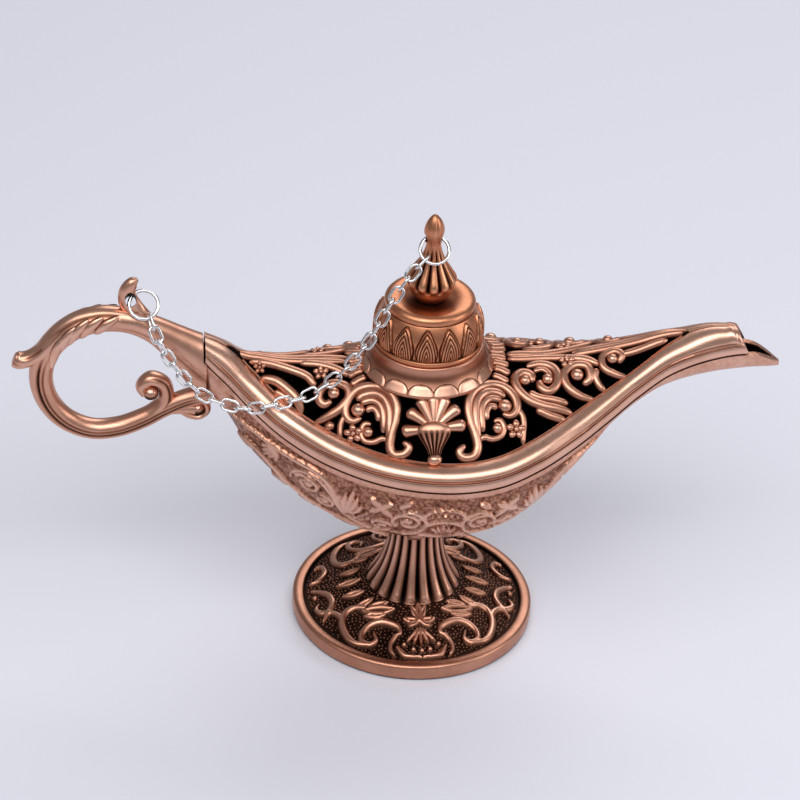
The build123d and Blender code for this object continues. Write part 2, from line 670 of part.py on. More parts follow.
def make_finial_nut():
    low = lid_seat_z() - LID_WALL - NUT_THICKNESS
    nut = extrude(RegularPolygon(NUT_RADIUS, 6), NUT_THICKNESS)
    bore = Cylinder(TENON_RADIUS, NUT_THICKNESS, align=(Align.CENTER, Align.CENTER, Align.MIN))
    return Pos(0, 0, low) * (nut - bore)


# Handle: lofted strands in the middle plane
def strand(sections):
    faces = []
    last = len(sections) - 1
    for index, (x, z, high, wide) in enumerate(sections):
        x0, z0 = sections[max(index - 1, 0)][:2]
        x1, z1 = sections[min(index + 1, last)][:2]
        along = Vector(x1 - x0, 0, z1 - z0).normalized()
        plane = Plane(origin=(x, 0, z), x_dir=(0, 1, 0), z_dir=along)
        faces.append(plane * Ellipse(wide, high))
    return loft(faces)


def make_handle(hull):
    """Strands of the handle, cut back to the outside of the bowl and of the cover."""
    handle = strand(LOOP) + strand(HOOK) + strand(LEAF_TIP) + strand(CURL) + strand(BUD_STRAND)
    for (x, z), radius in (CURL_BALL, BUD):
        handle += Pos(x, 0, z) * Sphere(radius)
    eye = handle_eye()
    hole = Pos(*eye) * Rot(90 + HANDLE_EYE_TILT, 0, 0) * Cylinder(HANDLE_EYE_RADIUS, LINK_LENGTH * 2)
    slit = Pos(HANDLE_X - HANDLE_SLIT, 0, seam_z(-1.0)) * Box(
        BODY_BACK, BODY_HALF_WIDTH, LIP_RISE * 2, align=(Align.MIN, Align.CENTER, Align.MIN)
    )
    return handle - hole - slit - hull - cover_shell()


# Rings and chain
def handle_eye():
    return Vector(HANDLE_EYE_X, 0, HANDLE_EYE_Z)


def lid_eye():
    return Vector(0, 0, lid_seat_z() + FINIAL_HEIGHT - LID_EYE_DROP)


def tilted(angle):
    """Direction that leans back and up by an angle."""
    return Vector(0, cos(radians(angle)), sin(radians(angle)))


def handle_ring_plane():
    across = tilted(HANDLE_EYE_TILT)
    sag = radians(HANDLE_RING_SAG)
    centre = handle_eye() + (Vector(1, 0, 0) * cos(sag) - across * sin(sag)) * (RING_RADIUS - RING_SET)
    return Plane(origin=centre, x_dir=(1, 0, 0), z_dir=Vector(1, 0, 0).cross(across))


def lid_ring_plane():
    down = tilted(90 - LID_RING_LEAN) * -1
    centre = lid_eye() + down * (RING_RADIUS - RING_SET)
    return Plane(origin=centre, x_dir=(1, 0, 0), z_dir=Vector(1, 0, 0).cross(down * -1))


def make_ring(plane):
    return plane * Torus(RING_RADIUS, RING_WIRE / 2)


def link_pitch():
    return LINK_LENGTH - 2 * WIRE - LINK_GAP


def ring_hang(plane, angle, slack=0.0):
    """Point of a ring where a link hangs, between the two wires."""
    reach = RING_RADIUS - (RING_WIRE + LINK_GAP) / 2 - slack
    turn = radians(angle)
    return plane.from_local_coords(Vector(reach * cos(turn), reach * sin(turn), 0))


def chain_way(sway):
    """Smooth way of the chain; sway moves its middle out from the lamp, which makes it longer."""
    first = ring_hang(handle_ring_plane(), HANDLE_HANG)
    last = ring_hang(lid_ring_plane(), LID_HANG, LAST_LINK_SLACK)
    count = len(CHAIN_ROUTE) + 1
    points = []
    for index, (x, y, z) in enumerate(CHAIN_ROUTE):
        points.append(Vector(x, y - sway * sin(pi * (index + 1) / count), z))
    return Spline(first, *points, last)


def links_along(way):
    """Points where links meet: one pitch apart from the way's start, and the way's end."""
    joints = [way.position_at(0)]
    at = 0.0
    for link in range(LINK_COUNT - 1):
        low, high = at, min(at + 0.2, 1.0)
        for halving in range(30):
            middle = (low + high) / 2
            if (way.position_at(middle) - joints[-1]).length < link_pitch():
                low = middle
            else:
                high = middle
        at = high
        joints.append(way.position_at(at))
    joints.append(way.position_at(1))
    return joints


def chain_joints():
    """The way is swayed until its last link is one pitch long like the others."""
    low, high = -3.0, 6.0
    for halving in range(24):
        sway = (low + high) / 2
        joints = links_along(chain_way(sway))
        if (joints[-1] - joints[-2]).length < link_pitch():
            low = sway
        else:
            high = sway
    return joints


def make_link():
    """One oval link lying along X, flat in the XY plane."""
    bend = (LINK_WIDTH - WIRE) / 2
    half = (LINK_LENGTH - LINK_WIDTH) / 2
    path = Wire([
        Line((-half, -bend), (half, -bend)),
        ThreePointArc((half, -bend), (half + bend, 0), (half, bend)),
        Line((half, bend), (-half, bend)),
        ThreePointArc((-half, bend), (-half - bend, 0), (-half, -bend)),
    ])
    section = Plane(origin=(-half, -bend, 0), z_dir=(1, 0, 0)) * Circle(WIRE / 2)
    return sweep(section, path)


def link_plane(start, end, number):
    along = (end - start).normalized()
    side = Vector(0, 1, 0).cross(along).normalized()
    out = along.cross(side)
    turn = radians(LINK_TWIST + 90 * ((number + 1) % 2))
    normal = out * cos(turn) + side * sin(turn)
    return Plane(origin=(start + end) * 0.5, x_dir=along, z_dir=normal)


def save(shape, name):
    export_step(shape, f"parts/{name}.step")


def main():
    hull, bowl = make_bowl()
    cover = make_cover()
    save(bowl, "bowl")
    save(make_foot(), "pedestal_foot")
    save(make_washer(), "foot_washer")
    save(make_foot_screw(), "foot_screw")
    save(cover, "pierced_cover")
    save(make_handle(hull), "handle")
    save(make_lid_dome(), "lid_dome")
    save(make_finial(), "finial")
    save(make_finial_nut(), "finial_nut")
    save(make_ring(handle_ring_plane()), "handle_ring")
    save(make_ring(lid_ring_plane()), "lid_ring")
    joints = chain_joints()
    link = make_link()
    for number in range(LINK_COUNT):
        plane = link_plane(joints[number], joints[number + 1], number)
        save(plane * link, f"chain_link_{number + 1:02d}")


main()
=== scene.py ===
import math
import bmesh
import bpy
import numpy as np
from mathutils import Matrix, Vector


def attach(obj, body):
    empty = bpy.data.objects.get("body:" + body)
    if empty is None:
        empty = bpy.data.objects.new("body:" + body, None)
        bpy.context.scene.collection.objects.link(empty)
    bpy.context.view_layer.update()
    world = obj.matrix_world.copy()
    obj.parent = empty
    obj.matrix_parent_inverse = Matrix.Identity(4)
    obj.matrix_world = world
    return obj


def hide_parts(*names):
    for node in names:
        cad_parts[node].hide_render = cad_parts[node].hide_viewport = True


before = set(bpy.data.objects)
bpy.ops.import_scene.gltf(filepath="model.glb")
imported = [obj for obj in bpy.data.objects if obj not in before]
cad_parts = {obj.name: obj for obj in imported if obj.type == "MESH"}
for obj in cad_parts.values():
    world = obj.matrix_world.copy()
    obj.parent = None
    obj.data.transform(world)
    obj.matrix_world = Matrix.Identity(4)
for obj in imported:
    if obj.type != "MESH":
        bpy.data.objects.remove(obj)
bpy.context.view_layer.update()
MM = 0.001

# Sizes of the lamp in millimetres and degrees, as in the part's source or worked out from it
BODY_MID_X, BODY_BACK, BODY_SPOUT, BODY_HALF_WIDTH = 3.0, 60.5, 89.9, 32.5
SEAM_Z, SEAM_RISE, BOWL_DEPTH, KEEL_RISE, BOWL_WALL = 60.8, 22.4, 29.5, 45.6, 1.8
LIP_Z, LIP_RISE, LIP_THICKNESS, LEDGE_HEIGHT, LEDGE_STEP = 66.8, 22.5, 3.0, 2.4, 0.5
OPENING_MID_X, OPENING_BACK, OPENING_FRONT, OPENING_HALF_WIDTH = 5.0, 54.1, 62.9, 26.9
SEAM_GAP, COVER_WALL, DECK_APEX_Z, DECK_EDGE_DROP, DECK_INSET = 0.2, 2.3, 86.5, 1.0, 0.5
SPOUT_CUT_X, SPOUT_CUT_LEAN = 84.0, 28.0
BACK_X = BODY_MID_X - BODY_BACK
TIP_X = BODY_MID_X + BODY_SPOUT
COLLAR_RADIUS, COLLAR_TOP_RADIUS, COLLAR_BORE = 17.4, 14.7, 11.8
COLLAR_BOTTOM_Z, COLLAR_TOP_Z, SCALLOPS = 79.2, 87.3, 16
LID_RADIUS, LID_HEIGHT = 14.3, 13.3
FINIAL_Z, FINIAL_HEIGHT, FINIAL_FLUTES = 99.6, 25.2, 12
FINIAL_EYE_Z, FINIAL_EYE_RADIUS = 117.9, 1.25
FOOT_RADIUS, FOOT_EDGE, STEM_TOP_Z, STEM_FLUTES = 32.2, 4.4, 30.0, 18
HANDLE_EYE, HANDLE_EYE_RADIUS, HANDLE_EYE_TILT = (-76.5, 0.0, 99.8), 1.45, 45.0
HANDLE_SLIT = 0.5

# Finer shape of the visual, in millimetres, degrees and shares
BOWL_FULLNESS, LID_PETALS = 0.56, 14
CHASED_FROM, CHASED_TO = (-53, -50), (50, 54)
FOOT_DOME_LOW, FOOT_DOME_RISE, FOOT_DOME_INNER_RADIUS = 3.6, 6.2, 12.6
LEDGE_END, STEP_END = 0.22, 0.3
CUT_PROFILE_X, CUT_LIMIT_X = 82.0, 84.6
STRAND_FULLNESS, END_SCROLL_FULLNESS, LEFT_SHELL_SQUEEZE = 1.28, 1.15, 0.93
PETAL_TURNS = (-83, -57, -29, 0, 29, 57, 83)
PETAL_LENGTHS = (8.3, 7.9, 6.9, 6.2, 6.9, 7.9, 8.3)
VASE_HALF_WIDTH, SCALLOP_HEIGHT, FOOT_STROKE_FULLNESS = 4.5, 2.3, 1.25
PEBBLE_SPACING, PEBBLE_RADIUS, PEBBLE_TONE, PEBBLE_SEED = 0.8, 0.27, 0.66, 5
DRILL_LENGTH = 20.0

# Fine lines across the rim's section: place and width of each, and the height of the beads
RIM_BEADS = ((0.25, 0.014, 0.16), (0.30, 0.012, 0.12), (0.972, 0.013, 0.22))
RIM_GROOVES, RIM_GROOVE_DEPTH = ((0.222, 0.010), (0.275, 0.009), (0.325, 0.010), (0.945, 0.010)), 0.30

# Relief of plain metal, and painted shade: half shade on edges, deep shade on unseen insides
PLAIN, SHADED, INSIDE_SHADE = 0.85, 0.6, -1.0

# Lines along the body: places from its back at -1 to its tip at 1, with shares of its half width and of
# the rise of seam, keel and lip
BODY_PLACES = (
    -1.0, -0.9, -0.8, -0.66, -0.48, -0.25, 0.0, 0.15, 0.27, 0.38, 0.48, 0.57, 0.67, 0.8, 0.92, 1.0,
)
WIDTH_LINE = sorted([(0.97, 0.07)] + list(zip(BODY_PLACES, (
    0.154, 0.225, 0.327, 0.49, 0.719, 0.915, 1.0, 0.966, 0.853, 0.671, 0.499, 0.348, 0.238, 0.161, 0.112,
    0.015,
))))
SEAM_LINE = list(zip(BODY_PLACES, (
    1.0, 0.752, 0.502, 0.255, 0.114, 0.03, 0.0, 0.032, 0.143, 0.271, 0.448, 0.63, 0.834, 0.963, 0.967, 0.789,
)))
KEEL_LINE = list(zip(BODY_PLACES, (
    0.945, 0.751, 0.509, 0.313, 0.152, 0.028, 0.0, 0.08, 0.239, 0.48, 0.755, 0.874, 0.938, 0.985, 1.004, 1.0,
)))
LIP_LINE = list(zip(BODY_PLACES, (
    1.0, 0.852, 0.607, 0.325, 0.149, 0.035, 0.0, 0.041, 0.168, 0.316, 0.486, 0.656, 0.87, 1.026, 0.935, 0.816,
)))
# Half width of the opening and height of the deck's ridge, by their places along the opening
OPENING_LINE = [
    (-1.0, 0.0), (-0.93, 0.09), (-0.86, 0.182), (-0.72, 0.39), (-0.5, 0.695), (-0.25, 0.918), (0.0, 1.0),
    (0.17, 0.952), (0.355, 0.777), (0.55, 0.509), (0.735, 0.294), (0.92, 0.085), (1.0, 0.0),
]
RIDGE_LINE = [
    (-1.0, 0.0), (-0.83, 0.3), (-0.65, 0.505), (-0.41, 0.67), (-0.09, 1.0), (0.2, 0.69), (0.4, 0.49),
    (0.64, 0.295), (0.87, 0.117), (1.0, 0.0),
]

# Scrollwork of the cover seen from above, front half: points along each rounded strand and its width
SHELL_SCROLLS = [
    ([(7.9, -24.0), (6.4, -25.1), (7.5, -26.0), (10.0, -25.7), (11.2, -24.3), (10.8, -22.2), (9.6, -19.6),
      (9.2, -17.0), (10.1, -14.2), (12.4, -11.7), (16.0, -10.2), (19.3, -10.7), (21.6, -13.0), (22.0, -15.6),
      (20.4, -17.2), (18.2, -17.0)], 2.2),
    ([(11.4, -23.2), (11.2, -20.3), (11.1, -17.3), (12.1, -14.4), (14.4, -12.5), (17.2, -12.2),
      (19.2, -13.2)], 2.1),
    ([(12.8, -21.2), (12.6, -18.2), (13.2, -15.6), (15.0, -14.0), (17.0, -13.8), (17.9, -14.4)], 1.8),
    ([(13.9, -18.8), (14.0, -17.2), (14.8, -15.9), (16.0, -15.6), (16.8, -16.2)], 1.6),
    ([(11.8, -22.8), (13.2, -22.2), (15.2, -22.3), (17.5, -21.5), (18.4, -19.9), (17.4, -18.5),
      (15.7, -18.9)], 1.5),
    ([(22.0, -15.6), (23.3, -17.0), (23.6, -18.8), (23.2, -21.6), (23.6, -25.6)], 1.5),
    ([(16.2, -0.9), (18.4, -0.7), (20.6, -1.4)], 2.0),
    ([(16.6, -2.9), (18.9, -3.1), (21.0, -4.0)], 2.0),
    ([(16.9, -5.0), (19.0, -5.5), (21.0, -6.8)], 2.0),
    ([(16.3, -7.4), (18.4, -8.0), (20.4, -9.2)], 1.8),
]
SPOUT_SCROLLS = [
    ([(36.6, -15.4), (33.0, -14.9), (29.0, -14.6), (25.2, -13.4), (22.6, -10.8), (22.3, -8.0), (24.2, -6.2),
      (26.4, -6.9), (26.6, -9.0)], 2.0),
    ([(35.6, -13.6), (31.5, -13.1), (27.8, -12.7), (25.4, -11.6)], 1.6),
    ([(39.0, -17.4), (34.4, -16.9), (30.2, -16.4), (27.0, -15.4)], 1.8),
    ([(25.6, -4.0), (29.0, -3.2), (32.0, -4.3), (33.4, -6.8), (32.8, -9.6), (30.6, -11.2), (28.7, -10.2),
      (28.7, -8.4)], 1.9),
    ([(27.2, -5.6), (29.6, -5.0), (31.2, -6.4), (31.4, -8.2)], 1.3),
    ([(50.0, -14.4), (44.5, -12.6), (39.0, -11.9), (35.6, -9.8), (35.2, -6.6), (38.0, -4.5), (41.2, -5.2),
      (41.8, -8.0), (39.8, -9.6)], 1.9),
    ([(48.0, -11.8), (44.6, -10.2), (43.2, -8.2), (43.6, -6.0)], 1.5),
    ([(21.0, -1.0), (25.0, -1.1), (30.0, -0.9), (36.0, -1.6), (40.6, -2.8), (44.4, -5.2)], 1.8),
    ([(60.0, -9.2), (53.5, -8.4), (48.6, -7.7), (45.4, -5.9), (45.6, -3.1), (48.4, -1.9), (50.4, -3.4),
      (49.4, -5.4)], 1.7),
    ([(62.4, -1.8), (57.6, -2.5), (53.4, -3.1), (50.2, -3.4)], 1.6),
    ([(38.0, -0.5), (48.0, -0.5), (58.0, -0.4), (68.0, -0.2)], 1.8),
]
HANDLE_SCROLLS = [
    ([(-34.5, -12.8), (-30.6, -13.6), (-27.0, -13.8), (-23.4, -13.1), (-21.0, -11.2), (-21.4, -8.9),
      (-24.0, -7.7), (-27.0, -8.0), (-28.7, -9.8), (-27.4, -11.5), (-25.4, -11.2)], 1.9),
    ([(-38.4, -16.4), (-33.6, -15.9), (-29.4, -15.7), (-25.0, -15.3)], 1.8),
    ([(-43.5, -4.0), (-39.6, -5.0), (-36.6, -6.8), (-34.0, -9.2), (-33.2, -12.4), (-34.4, -18.5)], 2.0),
    ([(-42.6, -5.7), (-38.8, -6.8), (-36.3, -8.8), (-35.4, -11.4)], 1.5),
    ([(-41.6, -7.4), (-38.6, -8.7), (-37.3, -10.8), (-37.4, -13.6)], 1.4),
    ([(-46.0, -1.6), (-40.0, -2.0), (-35.6, -3.2), (-31.4, -5.2), (-29.4, -7.8)], 1.8),
    ([(-33.0, -1.4), (-28.0, -2.0), (-24.0, -3.5), (-20.4, -6.0)], 1.8),
    ([(-52.0, -0.3), (-46.0, -0.5), (-38.0, -0.5), (-31.0, -0.7), (-20.5, -1.0)], 1.7),
]
# Balls and flowers on the scrollwork: place from above and radius
SCROLL_BALLS = [
    ((18.8, -15.4), 1.8), ((-18.8, -14.3), 1.8), ((16.5, -20.2), 1.35), ((-16.5, -18.8), 1.35),
    ((24.7, -8.7), 1.5), ((30.6, -8.3), 1.5), ((38.4, -7.4), 1.7), ((47.9, -4.3), 1.4), ((-24.8, -9.9), 1.6),
]
SCROLL_FLOWERS = [
    ((21.3, -20.1), 2.6), ((-20.2, -18.2), 2.5), ((36.2, -3.3), 2.2), ((-27.8, -4.9), 2.1),
    ((-43.4, -2.6), 1.7),
]

# Handle strands: x, z, half height and half width of each section
LOOP = [
    (-56.5, 80.8, 8.2, 5.6), (-60.8, 83.9, 6.3, 4.8), (-65.5, 87.7, 4.7, 4.0), (-71.0, 91.5, 3.6, 3.4),
    (-77.5, 94.2, 3.3, 3.2), (-85.0, 94.3, 3.3, 3.1), (-92.3, 91.2, 3.3, 3.0), (-97.4, 85.4, 3.2, 3.0),
    (-99.3, 77.6, 3.1, 2.9), (-97.6, 70.0, 3.0, 2.9), (-93.0, 64.0, 2.9, 2.8), (-86.4, 60.8, 2.8, 2.8),
    (-79.4, 61.2, 2.7, 2.7), (-73.0, 63.8, 2.6, 2.7), (-67.4, 67.1, 2.5, 2.6), (-61.5, 69.9, 2.5, 2.6),
    (-54.0, 71.6, 2.6, 2.6),
]
LEAF = [
    (-77.5, 94.3, 3.2, 3.1), (-82.0, 95.0, 3.35, 3.2), (-85.4, 94.7, 3.45, 3.2), (-89.5, 93.3, 3.5, 3.15),
    (-93.2, 90.7, 3.45, 3.1), (-96.4, 87.5, 3.1, 3.0), (-99.2, 84.9, 2.3, 2.8), (-101.8, 83.2, 2.0, 2.6),
    (-103.8, 82.5, 2.2, 2.4), (-105.2, 82.5, 2.4, 2.1), (-106.1, 82.8, 1.9, 1.5), (-106.4, 82.9, 0.5, 0.4),
]
HOOK = [
    (-69.5, 91.8, 1.6, 1.6), (-73.4, 95.2, 2.3, 1.8), (-76.6, 99.2, 2.7, 1.4), (-77.4, 102.6, 2.2, 1.7),
    (-76.2, 105.4, 1.6, 1.5), (-74.9, 106.5, 0.6, 0.6),
]
CURL = [
    (-78.0, 62.3, 1.6, 2.2), (-71.6, 65.2, 2.0, 2.4), (-67.5, 69.4, 2.0, 2.5), (-67.6, 74.2, 1.9, 2.5),
    (-71.0, 76.2, 1.8, 2.4), (-73.6, 74.0, 1.5, 2.2), (-73.0, 71.6, 1.0, 1.9),
]
BUD_STRAND = [(-66.0, 66.6, 1.4, 2.0), (-62.3, 67.0, 1.8, 2.2), (-59.6, 66.6, 1.7, 2.0)]
BUD_SCROLL = [
    (-64.5, 67.0, 0.6, 1.6), (-61.6, 65.2, 1.0, 2.0), (-58.7, 64.5, 1.0, 2.0), (-56.6, 66.2, 1.0, 2.0),
    (-57.0, 68.6, 0.9, 1.9), (-58.8, 69.2, 0.7, 1.7),
]
# Lobes of the handle's leaf: x and z of root and tip
LOBES = [
    ((-79.6, 96.8), (-85.6, 91.6)), ((-83.6, 96.8), (-89.2, 90.6)), ((-87.2, 96.0), (-92.4, 88.6)),
    ((-90.4, 94.0), (-95.0, 86.0)), ((-93.4, 91.2), (-96.7, 81.6)),
]


def through(line, at):
    """Heights at many places of a smooth curve through the points of a line."""
    xs, ys = np.array(line, float).T
    slopes = np.empty_like(xs)
    slopes[1:-1] = (ys[2:] - ys[:-2]) / (xs[2:] - xs[:-2])
    slopes[0] = (ys[1] - ys[0]) / (xs[1] - xs[0])
    slopes[-1] = (ys[-1] - ys[-2]) / (xs[-1] - xs[-2])
    at = np.asarray(at, float)
    k = np.clip(np.searchsorted(xs, at, "right") - 1, 0, len(xs) - 2)
    span = xs[k + 1] - xs[k]
    t = np.clip((at - xs[k]) / span, 0, 1)
    rise = t * t * (3 - 2 * t)
    return (
        ys[k] + (ys[k + 1] - ys[k]) * rise
        + span * slopes[k] * t * (1 - t) ** 2
        - span * slopes[k + 1] * t * t * (1 - t)
    )


def smooth_points(points, steps):
    """More points on a smooth curve through rows of numbers."""
    rows = np.array(points, float)
    knots = np.arange(len(rows), dtype=float)
    at = np.linspace(0, len(rows) - 1, steps)
    return np.stack([through(list(zip(knots, column)), at) for column in rows.T], 1)


def ease(value, low, high):
    t = np.clip((np.asarray(value, float) - low) / (high - low), 0, 1)
    return t * t * (3 - 2 * t)


def bell(value, centre, width):
    return np.exp(-(((value - centre) / width) ** 2))


def bezier(t, first, second, third, last):
    """Curve from the first to the last value, drawn towards the two between."""
    s = 1 - t
    return first * s ** 3 + second * 3 * s ** 2 * t + third * 3 * s * t * t + last * t ** 3


def unit(rows):
    """Directions scaled to length one."""
    return rows / np.linalg.norm(rows, axis=-1, keepdims=True)


def around(count):
    """Angles once around a circle."""
    return np.linspace(0, 2 * math.pi, count, endpoint=False)


def ring_points(radius, turn, height):
    """Points at angles around the upright axis."""
    return np.stack([radius * np.cos(turn), radius * np.sin(turn), height + 0 * turn], -1)


# Lines of the body
def body_place(x):
    x = np.asarray(x, float)
    return (x - BODY_MID_X) / np.where(x > BODY_MID_X, BODY_SPOUT, BODY_BACK)


def half_width(x):
    return BODY_HALF_WIDTH * through(WIDTH_LINE, body_place(x))


def seam_z(x):
    return SEAM_Z + SEAM_RISE * through(SEAM_LINE, body_place(x))


def keel_z(x):
    return SEAM_Z - BOWL_DEPTH + KEEL_RISE * through(KEEL_LINE, body_place(x))


def lip_z(x):
    return LIP_Z + LIP_RISE * through(LIP_LINE, body_place(x))


def opening_place(x):
    x = np.asarray(x, float)
    return (x - OPENING_MID_X) / np.where(x > OPENING_MID_X, OPENING_FRONT, OPENING_BACK)


def opening_half_width(x):
    place = opening_place(x)
    wide = OPENING_HALF_WIDTH * through(OPENING_LINE, np.clip(place, -1, 1))
    return np.where(np.abs(place) < 1, np.maximum(wide, 0.0), 0.0)


def deck_z(x, y):
    """Height of the arched deck that carries the scrollwork."""
    place = np.clip(opening_place(x), -1, 1)
    lip = lip_z(x)
    ridge = lip + (DECK_APEX_Z - LIP_Z) * through(RIDGE_LINE, place)
    edge = lip - DECK_EDGE_DROP
    wide = opening_half_width(x) + DECK_INSET
    return edge + (ridge - edge) * (1 - np.clip(np.abs(y) / wide, 0, 1.1) ** 2)


# Meshes: grids of points gathered into one piece, with how far each point stands out of the recesses;
# undersides and insides get a low value as painted shade
class Shape:
    def __init__(self):
        self.points = []
        self.faces = []
        self.relief = []
        self.count = 0

    def grid(self, points, relief=0.8, close_rows=False, close_columns=False, cap_ends=False):
        rows, columns = points.shape[:2]
        index = np.arange(rows * columns).reshape(rows, columns) + self.count
        down = np.roll(index, -1, 0) if close_rows else index[1:]
        up = index if close_rows else index[:-1]
        if close_columns:
            quads = np.stack([up, np.roll(up, -1, 1), np.roll(down, -1, 1), down], -1)
        else:
            quads = np.stack([up[:, :-1], up[:, 1:], down[:, 1:], down[:, :-1]], -1)
        self.faces += quads.reshape(-1, 4).tolist()
        if cap_ends:
            self.faces.append(index[0][::-1].tolist())
            self.faces.append(index[-1].tolist())
        self.points.append(points.reshape(-1, 3))
        self.relief.append(np.broadcast_to(relief, (rows, columns)).reshape(-1))
        self.count += rows * columns

    def tube(self, path, side, up, wide, high, tone):
        """Closed strand along a path; wide and high give its section at each point of the path."""
        body = side[:, None] * wide[..., None] + up[:, None] * high[..., None]
        self.grid(path[:, None] + body, tone, close_columns=True, cap_ends=True)

    def ball(self, centre, size, relief=1.0, up=(0, 0, 1), segments=18, rings=10):
        """Ball or oval with its short way along up; size is across, along, high."""
        up = unit(np.array(up, float))
        side = unit(np.cross((0.0, 1.0, 0.0), up))
        tall = np.linspace(0.02, math.pi - 0.02, rings)[:, None]
        turn = around(segments)
        across = np.sin(tall) * np.cos(turn) * size[0]
        length = np.sin(tall) * np.sin(turn) * size[1]
        high = np.cos(tall) * size[2] + 0 * turn
        grid = np.array(centre, float) + across[..., None] * side
        grid = grid + length[..., None] * np.cross(up, side) + high[..., None] * up
        # Painted shade: each ball darkens below its middle to a black underside.
        tone = relief * ease(high, -size[2] * 0.5, size[2] * 0.35)
        self.grid(grid, tone, close_columns=True, cap_ends=True)

    def lathe(self, outline, segments, relief=0.8, offset=None):
        """Turned piece; offset gives points and relief their ornament from angle, radius and height."""
        turn = around(segments)
        radius, height = np.array(outline, float).T
        r = radius[:, None] + 0 * turn
        z = height[:, None] + 0 * turn
        if offset:
            r, z, relief = offset(turn[None] + 0 * r, r, z)
        self.grid(ring_points(r, turn, z), relief, close_columns=True)

    def mesh(self, name):
        mesh = bpy.data.meshes.new(name)
        mesh.from_pydata((np.concatenate(self.points) * MM).tolist(), [], self.faces)
        mesh.attributes.new("relief", "FLOAT", "POINT").data.foreach_set(
            "value", np.concatenate(self.relief).astype(np.float32)
        )
        mesh.update()
        return mesh

    def piece(self, name, body, material, slot, *nodes):
        return finish_piece(self.mesh(name), name, body, material, slot, *nodes)


def placed(name, data):
    """A new object in the scene."""
    made = bpy.data.objects.new(name, data)
    bpy.context.scene.collection.objects.link(made)
    return made


def evaluated(thing):
    """The plain mesh that an object's modifiers make; the object goes."""
    bpy.context.view_layer.update()
    made = bpy.data.meshes.new_from_object(thing.evaluated_get(bpy.context.evaluated_depsgraph_get()))
    bpy.data.objects.remove(thing)
    return made


def from_upright(place, axis):
    """The move that turns the upright axis towards another and goes to a place."""
    turn = Vector((0, 0, 1)).rotation_difference(Vector(axis)).to_matrix().to_4x4()
    return Matrix.Translation(Vector(place) * MM) @ turn


def outward(mesh):
    """Merges doubled points and turns every shell's faces outwards."""
    work = bmesh.new()
    work.from_mesh(mesh)
    bmesh.ops.remove_doubles(work, verts=work.verts, dist=1e-6)
    bmesh.ops.recalc_face_normals(work, faces=work.faces)
    work.to_mesh(mesh)
    work.free()
    mesh.update()


def finish_piece(mesh, name, body, material, slot, *nodes):
    """Smooths and dresses a mesh and hands it over as a piece of the part."""
    outward(mesh)
    mesh.polygons.foreach_set("use_smooth", [True] * len(mesh.polygons))
    mesh.set_sharp_from_angle(angle=math.radians(50))
    mesh.materials.clear()
    mesh.materials.append(material)
    piece = placed(name, mesh)
    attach(piece, body)
    if nodes:
        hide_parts(*nodes)
    return piece


def drilled(mesh, centre, axis, radius):
    """The mesh with a round hole through it."""
    work = bmesh.new()
    size = {"radius1": radius * MM, "radius2": radius * MM, "depth": DRILL_LENGTH * MM}
    bmesh.ops.create_cone(work, cap_ends=True, segments=24, **size)
    bmesh.ops.transform(work, matrix=from_upright(centre, axis), verts=work.verts)
    cutter_mesh = bpy.data.meshes.new("cutter")
    work.to_mesh(cutter_mesh)
    work.free()
    target, cutter = placed("drilled", mesh), placed("cutter", cutter_mesh)
    cut = target.modifiers.new("hole", "BOOLEAN")
    cut.operation = "DIFFERENCE"
    cut.solver = "EXACT"
    cut.object = cutter
    made = evaluated(target)
    bpy.data.objects.remove(cutter)
    return made


def joined(meshes, name):
    """Several meshes as one, with their relief kept."""
    work = bmesh.new()
    for mesh in meshes:
        work.from_mesh(mesh)
    made = bpy.data.meshes.new(name)
    work.to_mesh(made)
    work.free()
    return made


